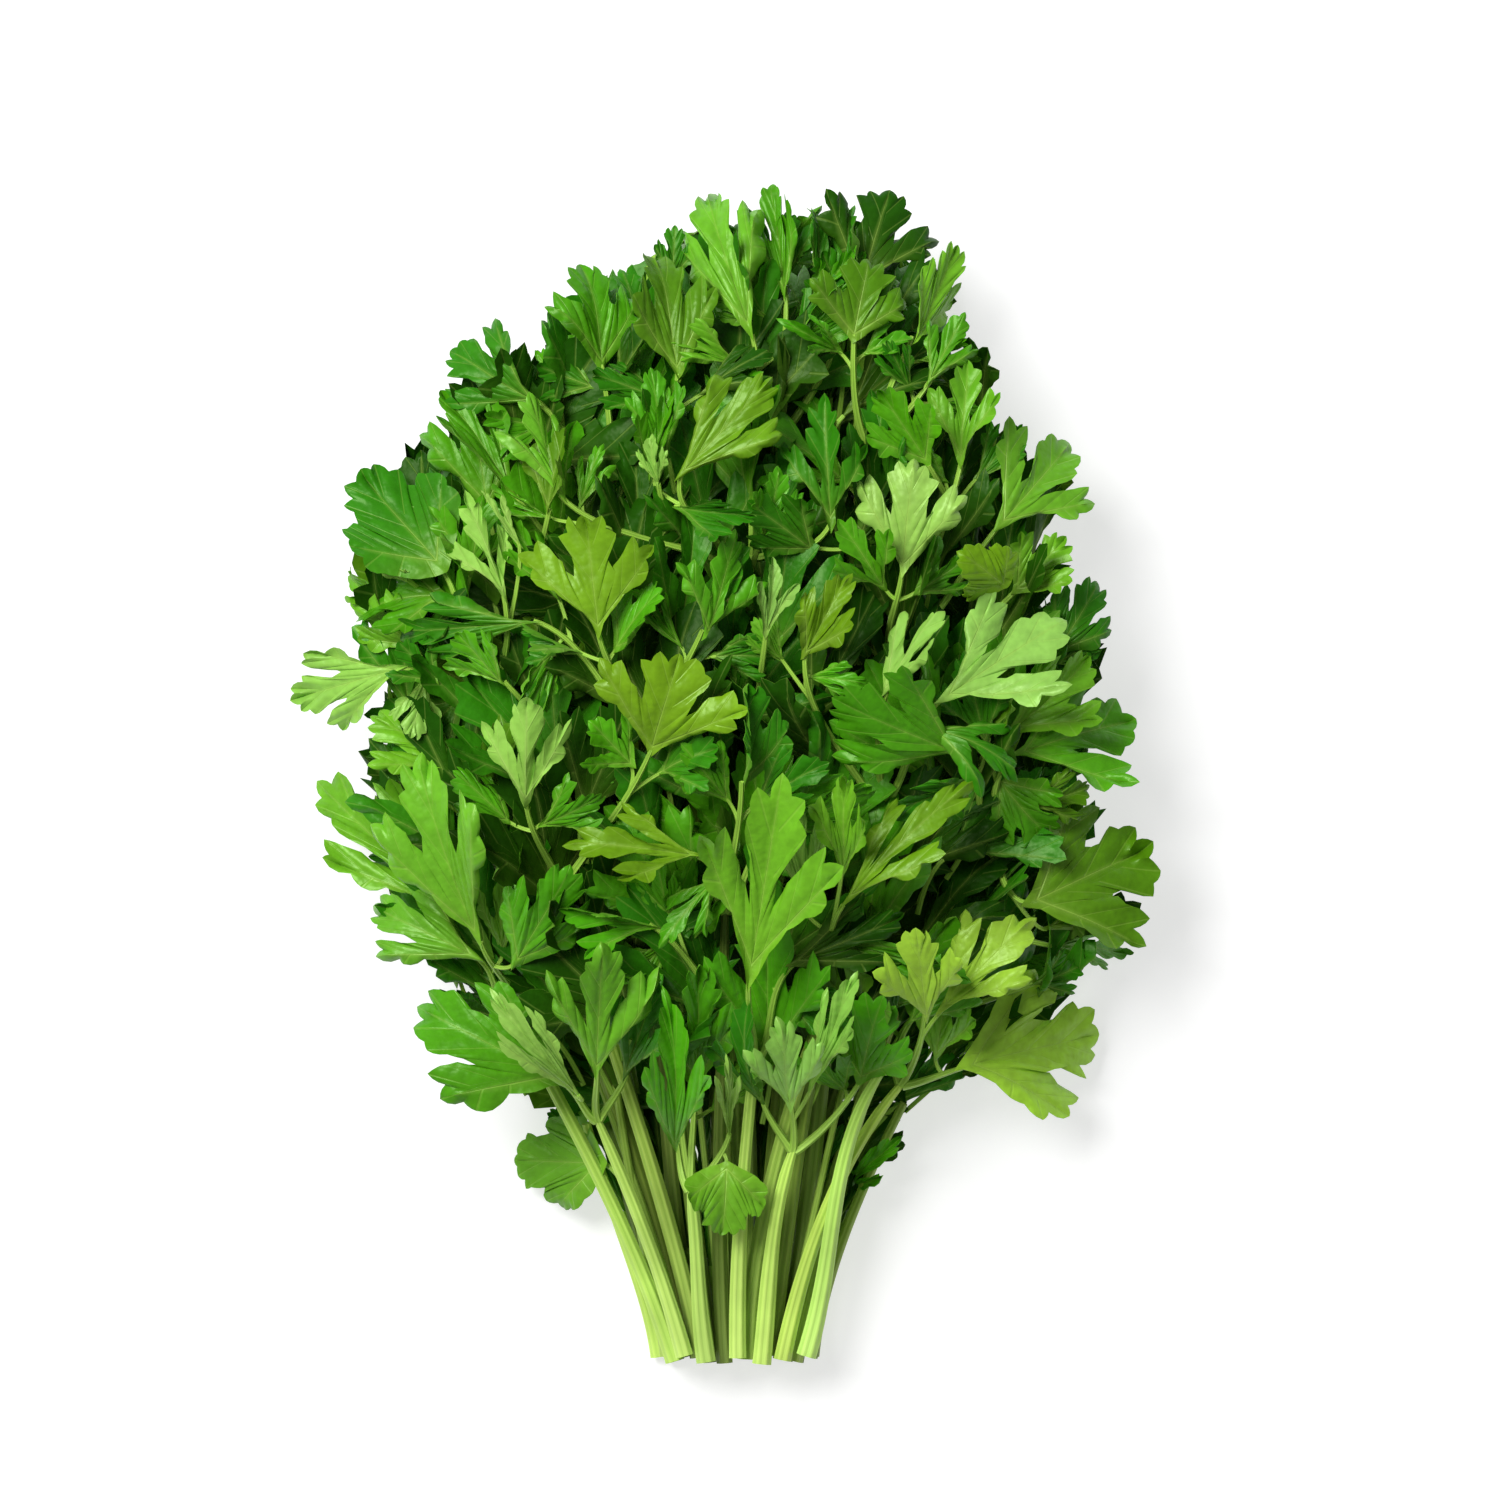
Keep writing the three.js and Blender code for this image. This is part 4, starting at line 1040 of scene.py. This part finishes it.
class ParsleyLeafSettings(bpy.types.PropertyGroup):
    thickness: length_setting("Blade thickness", "Thickness of a leaflet's blade", 0.0003)
    fold: share_setting("Fold", "Most rise of a blade's halves from its midrib, as a slope", 0.42)
    lobe_bend: share_setting("Lobe bend", "Most bend of a lobe's end, as a share of the blade's length", 0.2)
    ruffle: share_setting("Ruffle", "Height of the edge's waves, as a share of the blade's length", 0.03)
    twist: angle_setting("Twist", "Spread of the blades' twist along their length", 0.35)
    roll: angle_setting("Roll", "Spread of the blades' tilt about their midribs", 0.5)
    vein_show: share_setting("Vein paleness", "How much paler than the blade the veins are", 0.26)
    underside_pale: share_setting("Underside paleness", "How much paler the underside is", 0.34)
    gloss_roughness: share_setting("Upper roughness", "Roughness of the waxy upper side", 0.35)
    see_through: share_setting("Light through", "Share of the light that goes on through a blade", 0.22)
    # The shade green is painted shade: a darker green for the leaflets at the bottom of the heap and between
    # the stems, where shade falls.
    shaded: colour_setting("Shade green", "The oldest leaflets, at the bottom of the heap", "#1d4f06")
    deep: colour_setting("Deep green", "Old leaflets", "#2f7d0c")
    middle: colour_setting("Middle green", "Most leaflets", "#4d9f0e")
    bright: colour_setting("Bright green", "Young leaflets in full light", "#6aae22")
    yellow: colour_setting("Yellow green", "Leaflets that begin to turn", "#6d9d13")
    olive: colour_setting("Olive green", "Dull older leaflets", "#50820e")
    pale: colour_setting("Pale green", "The lightest leaflets", "#90c352")
    lime: colour_setting("Lime green", "The youngest leaflets, at the side of the stems", "#9acb38")


class ParsleyStemSettings(bpy.types.PropertyGroup):
    foot_radius: length_setting("Foot radius", "Radius of a stem at its cut", STEM_FOOT_RADIUS * MM)
    top_radius: length_setting("Top radius", "Radius of a stem at its fork", STEM_TOP_RADIUS * MM)
    ribs: bpy.props.IntProperty(name="Ribs", description="Ridges round a stem", default=7, min=3, max=12)
    rib_depth: share_setting("Rib depth", "Height of a ridge as a share of the radius", 0.045)
    ridge: colour_setting("Ridge green", "Light green of a stem's ridges", "#bde268")
    furrow: colour_setting("Furrow green", "Deeper green between the ridges", "#85b536")


class ParsleyStudioSettings(bpy.types.PropertyGroup):
    view_width: length_setting("View width", "Width of what the camera sees at the heap's middle height", 0.3)
    camera_height: length_setting("Camera height", "Height of the camera above the table", 2.4)
    key_power: bpy.props.FloatProperty(
        name="Key light", description="Power of the large soft lamp", default=26.0, unit="POWER"
    )
    fill: share_setting("Fill", "Strength of the white surroundings", 0.28)


# ---------------------------------------------------------------- operators


class PARSLEY_OT_tissues(bpy.types.Operator):
    """Makes the materials of blade, stem skin and cut end"""

    bl_idname = "parsley.tissues"
    bl_label = "Plant tissues"

    def execute(self, context):
        leaf_blade_material(context.scene.parsley_leaves)
        stem_material(context.scene.parsley_stems)
        cut_material()
        return {"FINISHED"}


class Grown:
    """What the growing steps share: the plant tissues have to be there first."""

    @classmethod
    def poll(cls, context):
        return "parsley_leaf_blade" in bpy.data.materials


# How thick a stem is against the settings, how far it swells and shrinks along its length, and how thick it
# still is at its fork. How light the stems of each layer are, from the table up, and by how much some differ:
# the lower layers are darker, painted shade for stems that lie under others.
STEM_SIZES, STEM_SWELLING, STEM_WAVES, FORK_TAPER = (0.82, 1.0), 0.03, 9, 0.72
LAYER_PAINTED_SHADES, TONE_RANGE = (0.34, 0.5, 0.78, 1.06), (0.88, 1.12)
RED_RANGE, BLUE_RANGE = (0.92, 1.06), (0.75, 1.0)
# Stems darkened or lightened one by one: painted shade and painted light.
STEMS_PAINTED_DARKER_OR_LIGHTER = {(2, 2): 0.42, (4, 2): 0.6, (0, 2): 1.2, (1, 3): 0.86}


def make_stem(number, column, row, fork, in_frame):
    """One frond's stem: thicker at its cut foot, a little uneven along its length and tapered at its fork."""
    stems = bpy.context.scene.parsley_stems
    tissue = Tissue()
    path = stem_path(column, row, fork, STEM_RINGS)
    rng = np.random.default_rng(1000 + 10 * column + row)
    radius = np.linspace(stems.foot_radius, stems.top_radius, STEM_RINGS) / MM
    thickness = rng.uniform(*STEM_SIZES)
    waves = np.sin(np.linspace(0, STEM_WAVES, STEM_RINGS) + rng.uniform(0, 6))
    radius = radius * (thickness + STEM_SWELLING * waves)
    radius[-FORK_RINGS:] *= np.linspace(1.0, FORK_TAPER, FORK_RINGS)
    # A stem's tone: darker the lower its layer and darkened or lightened one by one, as painted shade and
    # light, and a little random.
    tone = LAYER_PAINTED_SHADES[row] * rng.uniform(*TONE_RANGE) * STEMS_PAINTED_DARKER_OR_LIGHTER.get((column, row), 1.0)
    green = (tone * rng.uniform(*RED_RANGE), tone, tone * rng.uniform(*BLUE_RANGE), 1.0)
    tube(tissue, path, radius, STEM_SIDES, stems.ribs, stems.rib_depth, green, FIRST, SECOND)
    return plant_piece(f"frond_{number}_stem", tissue, "stem", f"stem_{number}" if in_frame else None)


# Stems that lie along the bundle's two sides, as Bezier points with a radius and a tone.
SIDE_STEMS = [
    ([(-12.6, -117.6, 2.0), (-14.5, -104, 2.4), (-21, -92, 5), (-27, -70, 12)], 1.5, 1.1),
    ([(-11.0, -117.2, 6.2), (-12.5, -104, 7), (-17, -92, 10), (-21, -62, 18)], 1.2, 0.8),
    ([(18.6, -117.4, 2.0), (20, -106, 2.2), (24, -92, 5), (37, -66, 10)], 1.4, 0.7),
]
# The thin stems of a gap: its rows and columns, how far up a row's pitch it is, and the ranges that a stem's
# foot, its spread against the bundle's, its end and its height there, and its tone are drawn from.
GAP_ROWS, GAP_COLUMNS, GAP_RISE = 3, 5, 0.36
THIN_FEET_Y, THIN_SPREADS, THIN_ENDS_Y, THIN_RISES = (1, 3), (2.2, 3.4), (-58, -40), (1, 7)
# The thin stems' tones are mostly dark: painted shade in the gaps between the thick stems.
THIN_RADII, THIN_RIBS, THIN_PAINTED_SHADE_TONES, FOOT_HANDLE, END_HANDLE = (0.78, 0.6), 5, (0.4, 0.95), 22, 20


def thin_stems():
    """The young stems in the gaps between three thick ones, each spreading out with its neighbours."""
    rng = np.random.default_rng(31)
    tissue = Tissue()
    for points, radius, tone in SIDE_STEMS:
        radii = radius * np.linspace(1.0, 0.6, THIN_RINGS)
        green = (tone, tone, tone * 0.85, 1.0)
        tube(tissue, bezier(points, THIN_RINGS), radii, SIDE_STEM_SIDES, 7, 0.05, green, FIRST, SECOND)
    radii = np.linspace(*THIN_RADII, THIN_RINGS)
    for row in range(GAP_ROWS):
        for column in range(GAP_COLUMNS):
            x = BUNDLE_LEFT_X + BUNDLE_PITCH_X * (column + (0.5 if row % 2 == 0 else 1.0))
            z = STEM_FOOT_RADIUS + BUNDLE_PITCH_Z * (row + GAP_RISE)
            foot = np.array([x, BUNCH_FOOT_Y + rng.uniform(*THIN_FEET_Y), z])
            out = (x - BUNDLE_MIDDLE_X) * rng.uniform(*THIN_SPREADS)
            end = np.array([BUNDLE_MIDDLE_X + out, rng.uniform(*THIN_ENDS_Y), z + rng.uniform(*THIN_RISES)])
            lean = np.array([(x - BUNDLE_MIDDLE_X) * SPLAY, 1.0, 0.0])
            arriving = unit(end - foot)
            path = bezier([foot, foot + lean * FOOT_HANDLE, end - arriving * END_HANDLE, end], THIN_RINGS)
            tone = rng.uniform(*THIN_PAINTED_SHADE_TONES)
            green = (tone * rng.uniform(0.9, 1.0), tone, tone * 0.8, 1.0)
            tube(tissue, path, radii, THIN_SIDES, THIN_RIBS, STALK_RIB_DEPTH, green, FIRST, SECOND)
    plant_piece("thin_stems", tissue, "stem")


def grow_leaves(fronds, in_frame):
    """The leaves of a list of fronds, one pinna after the other."""
    for number, _, _, fork, floor, pinnae in fronds:
        for side, spec in pinnae.items():
            pinna(number, side, fork, floor, spec, in_frame)


class PARSLEY_OT_stems(Grown, bpy.types.Operator):
    """Grows the ribbed, cut stems of all fronds"""

    bl_idname = "parsley.stems"
    bl_label = "Cut stems"

    def execute(self, context):
        for fronds, in_frame in ((FRONDS, True), (INNER_FRONDS, False)):
            for number, column, row, fork, _, _ in fronds:
                make_stem(number, column, row, fork, in_frame)
        thin_stems()
        return {"FINISHED"}


class PARSLEY_OT_frame_leaves(Grown, bpy.types.Operator):
    """Grows the leaves that stand for the CAD frame's pinnae"""

    bl_idname = "parsley.frame_leaves"
    bl_label = "Leaves of the frame"

    def execute(self, context):
        grow_leaves(FRONDS, True)
        return {"FINISHED"}


class PARSLEY_OT_inner_leaves(Grown, bpy.types.Operator):
    """Grows the leaves between those of the CAD frame"""

    bl_idname = "parsley.inner_leaves"
    bl_label = "Leaves between"

    def execute(self, context):
        grow_leaves(INNER_FRONDS, False)
        return {"FINISHED"}


class PARSLEY_OT_single_leaves(Grown, bpy.types.Operator):
    """Grows the single leaflets among the fronds and behind the stems"""

    bl_idname = "parsley.single_leaves"
    bl_label = "Single leaflets"

    def execute(self, context):
        rng = np.random.default_rng(77)
        tissue = Tissue()
        for row in SINGLES:
            base, tip = leaflet_ends(row[:6])
            look = leaf_look(rng, row[6], FINE)
            look["fold"] = min(look["fold"], context.scene.parsley_leaves.fold)
            leaflet(tissue, base, tip, row[4], rng, look, row[6])
            rib = unit(tip - base)
            path = bezier([base + rib, base - rib * 6 - UP * 2, base - rib * 12 - UP * 12], PETIOLULE_RINGS)
            radii = np.linspace(PETIOLULE_RADIUS, STALK_RADIUS, PETIOLULE_RINGS)
            stalk(tissue, path, radii, PETIOLULE_SIDES)
        # The leaflets behind the stems are dark: painted shade between the stems.
        for base_x, base_y, tip_x, tip_y, width, height, letter in STEM_LEAFLETS:
            base, tip = np.array([base_x, base_y, height]), np.array([tip_x, tip_y, height])
            look = leaf_look(rng, letter, MEDIUM)
            look.update(roll=0.0, fold=0.1)
            leaflet(tissue, base, tip, width, rng, look, letter)
            rib = unit(tip - base)
            path = bezier([base + rib, base - rib * 4, base - rib * 9], COARSE_RINGS)
            stalk(tissue, path, PETIOLULE_RADIUS, COARSE_SIDES)
        plant_piece("single_leaflets", tissue, "leaf")
        return {"FINISHED"}


# The lower layers from the top down: how deep each lies, as in FRONDS, and how far apart its leaves are. The
# top one starts further back from the stems.
LOWER_LAYERS = ((1.7, 15.0), (2.7, 17.0), (4.0, 20.0), (5.4, 16.0))
TOP_LAYER_Y, OTHER_LAYERS_Y, LAYERS_END_Y = -38, -62, 114
# The greens of the top lower layer and of the deeper ones: mostly deep and shade greens, painted shade on
# leaves that also lie in the heap's shade.
TOP_LETTERS, SHADE_LETTERS = "DSMDS", "SSDSO"
LOWER_LENGTHS, SHORTEST, LOWEST_Z = (26, 36), 15, 2.0
MOST_MOVES, MOVE = 8, 2.0
LEAVES_UNDER_STEMS_Y = -45
LEAVES_SPREAD_FROM = np.array([2.0, -110.0])


def drawn_in(ends, width):
    """A leaflet's ends, moved towards the heap's middle until its lobes are inside the outline too."""
    middle = np.array([HEAP_X, HEAP_Y])
    for _ in range(MOST_MOVES):
        rib = ends[1] - ends[0]
        across = np.array([-rib[1], rib[0]]) / np.linalg.norm(rib) * width / 2
        lobes = ends[0] + rib * 0.7
        if all(inside(place, 1.0) for place in (*ends, lobes + across, lobes - across)):
            break
        ends = [end + unit(middle - end) * MOVE for end in ends]
    return ends


def lower_leaf(tissue, place, layer, rng):
    """One shaded leaf about a place, pointing out from the stems' foot, with a stalk down towards it."""
    centre = place + rng.uniform(-4, 4, 2)
    out = unit(unit(centre - LEAVES_SPREAD_FROM) + rng.normal(0, 0.4, 2))
    size = rng.uniform(*LOWER_LENGTHS)
    ends = [pulled_in(centre + out * size * share, 7.0 + 2 * layer) for share in (-0.5, 0.5)]
    size = np.linalg.norm(ends[1] - ends[0])
    if size < SHORTEST:
        return
    width = size * rng.uniform(0.75, 0.95)
    ends = drawn_in(ends, width)
    base, tip = leaflet_ends((*ends[0], *ends[1], width, LOWER_LAYERS[layer][0] + rng.uniform(-0.3, 0.3)))
    base[2], tip[2] = max(base[2], LOWEST_Z), max(tip[2], LOWEST_Z)
    if place[1] < LEAVES_UNDER_STEMS_Y:
        base[2], tip[2] = LOWEST_Z, LOWEST_Z + 0.5
    # Darker greens for the lower layers: painted shade.
    letter = (SHADE_LETTERS if layer else TOP_LETTERS)[rng.integers(5)]
    look = leaf_look(rng, letter, COARSE if layer else MEDIUM)
    leaflet(tissue, base, tip, width, rng, look, letter)
    rib = unit(tip - base)
    home = np.append(unit(LEAVES_SPREAD_FROM - base[:2]) * 12, -4.0)
    path = bezier([base + rib, base - rib * 4, base + home], COARSE_RINGS)
    path[:, 2] = np.maximum(path[:, 2], 1.0)
    stalk(tissue, path, np.linspace(0.45, 0.6, COARSE_RINGS), COARSE_SIDES)


class PARSLEY_OT_under_leaves(Grown, bpy.types.Operator):
    """Fills the heap's lower layers with the leaves that lie in shade"""

    bl_idname = "parsley.under_leaves"
    bl_label = "Lower layers"

    def execute(self, context):
        rng = np.random.default_rng(5)
        for layer, (_, spacing) in enumerate(LOWER_LAYERS):
            tissue = Tissue()
            for y in np.arange(OTHER_LAYERS_Y if layer else TOP_LAYER_Y, LAYERS_END_Y, spacing):
                left, right = outline_at(y)
                for x in np.arange(left + 9, right - 5, spacing):
                    lower_leaf(tissue, np.array([x, y]), layer, rng)
            plant_piece(f"lower_leaves_{layer + 1}", tissue, "leaf")
        return {"FINISHED"}


# The studio, in metres.
TABLE_HALF, LAMP_PLACE, LAMP_SIZE = 1.5, (-0.6, 0.55, 1.2), 0.8
CAMERA_X, CAMERA_Y, HEAP_MIDDLE_Z, FARTHEST_SEEN = 0.006, 0.0052, 0.03, 10.0
SENSOR_MM = 36.0


class PARSLEY_OT_studio(bpy.types.Operator):
    """Sets up the pale table, the soft light and the camera that looks straight down"""

    bl_idname = "parsley.studio"
    bl_label = "Studio"

    def execute(self, context):
        scene = context.scene
        studio = scene.parsley_studio
        corners = [(x * TABLE_HALF, y * TABLE_HALF, 0) for x, y in ((-1, -1), (1, -1), (1, 1), (-1, 1))]
        mesh = bpy.data.meshes.new("table_paper")
        mesh.from_pydata(corners, [], [(0, 1, 2, 3)])
        mesh.materials.append(paper_material())
        table = bpy.data.objects.new("table_paper", mesh)
        scene.collection.objects.link(table)

        world = bpy.data.worlds.new("studio_surroundings")
        world.use_nodes = True
        background = world.node_tree.nodes["Background"]
        background.inputs["Color"].default_value = (1, 1, 1, 1)
        background.inputs["Strength"].default_value = studio.fill
        scene.world = world
        scene.view_settings.view_transform = "Standard"

        lamp = bpy.data.lights.new("key_lamp", "AREA")
        lamp.shape, lamp.size, lamp.energy = "DISK", LAMP_SIZE, studio.key_power
        key = bpy.data.objects.new("key_lamp", lamp)
        key.location = LAMP_PLACE
        key.rotation_euler = key.location.to_track_quat("Z", "Y").to_euler()
        scene.collection.objects.link(key)

        camera_data = bpy.data.cameras.new("overhead_camera")
        camera_data.sensor_width = SENSOR_MM
        camera_data.lens = SENSOR_MM * (studio.camera_height - HEAP_MIDDLE_Z) / studio.view_width
        camera_data.clip_end = FARTHEST_SEEN
        camera = bpy.data.objects.new("overhead_camera", camera_data)
        camera.location = (CAMERA_X, CAMERA_Y, studio.camera_height)
        scene.collection.objects.link(camera)
        scene.camera = camera
        return {"FINISHED"}


# ---------------------------------------------------------------- panel and registration

STEPS = (
    "parsley.tissues", "parsley.studio", "parsley.stems", "parsley.frame_leaves", "parsley.inner_leaves",
    "parsley.single_leaves", "parsley.under_leaves",
)


class PARSLEY_PT_bunch(bpy.types.Panel):
    """Lists the steps and settings of the parsley bunch"""

    bl_idname = "PARSLEY_PT_bunch"
    bl_label = "Parsley bunch"
    bl_space_type = "VIEW_3D"
    bl_region_type = "UI"
    bl_category = "Parsley"

    def draw(self, context):
        column = self.layout.column()
        for step in STEPS:
            column.operator(step)
        scene = context.scene
        for group in (scene.parsley_leaves, scene.parsley_stems, scene.parsley_studio):
            for name in group.__annotations__:
                column.prop(group, name)


CLASSES = (
    ParsleyLeafSettings, ParsleyStemSettings, ParsleyStudioSettings, PARSLEY_OT_tissues, PARSLEY_OT_studio,
    PARSLEY_OT_stems, PARSLEY_OT_frame_leaves, PARSLEY_OT_inner_leaves, PARSLEY_OT_single_leaves,
    PARSLEY_OT_under_leaves, PARSLEY_PT_bunch,
)


def register():
    """Makes the classes and their settings known."""
    for cls in CLASSES:
        bpy.utils.register_class(cls)
    bpy.types.Scene.parsley_leaves = bpy.props.PointerProperty(type=ParsleyLeafSettings)
    bpy.types.Scene.parsley_stems = bpy.props.PointerProperty(type=ParsleyStemSettings)
    bpy.types.Scene.parsley_studio = bpy.props.PointerProperty(type=ParsleyStudioSettings)


def unregister():
    """Takes the settings and classes away again."""
    del bpy.types.Scene.parsley_studio
    del bpy.types.Scene.parsley_stems
    del bpy.types.Scene.parsley_leaves
    for cls in reversed(CLASSES):
        bpy.utils.unregister_class(cls)


def main():
    """Builds the whole scene."""
    register()
    bpy.ops.parsley.tissues()
    bpy.ops.parsley.studio()
    bpy.ops.parsley.stems()
    bpy.ops.parsley.frame_leaves()
    bpy.ops.parsley.inner_leaves()
    bpy.ops.parsley.single_leaves()
    bpy.ops.parsley.under_leaves()
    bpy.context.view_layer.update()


if __name__ == "__main__":
    main()
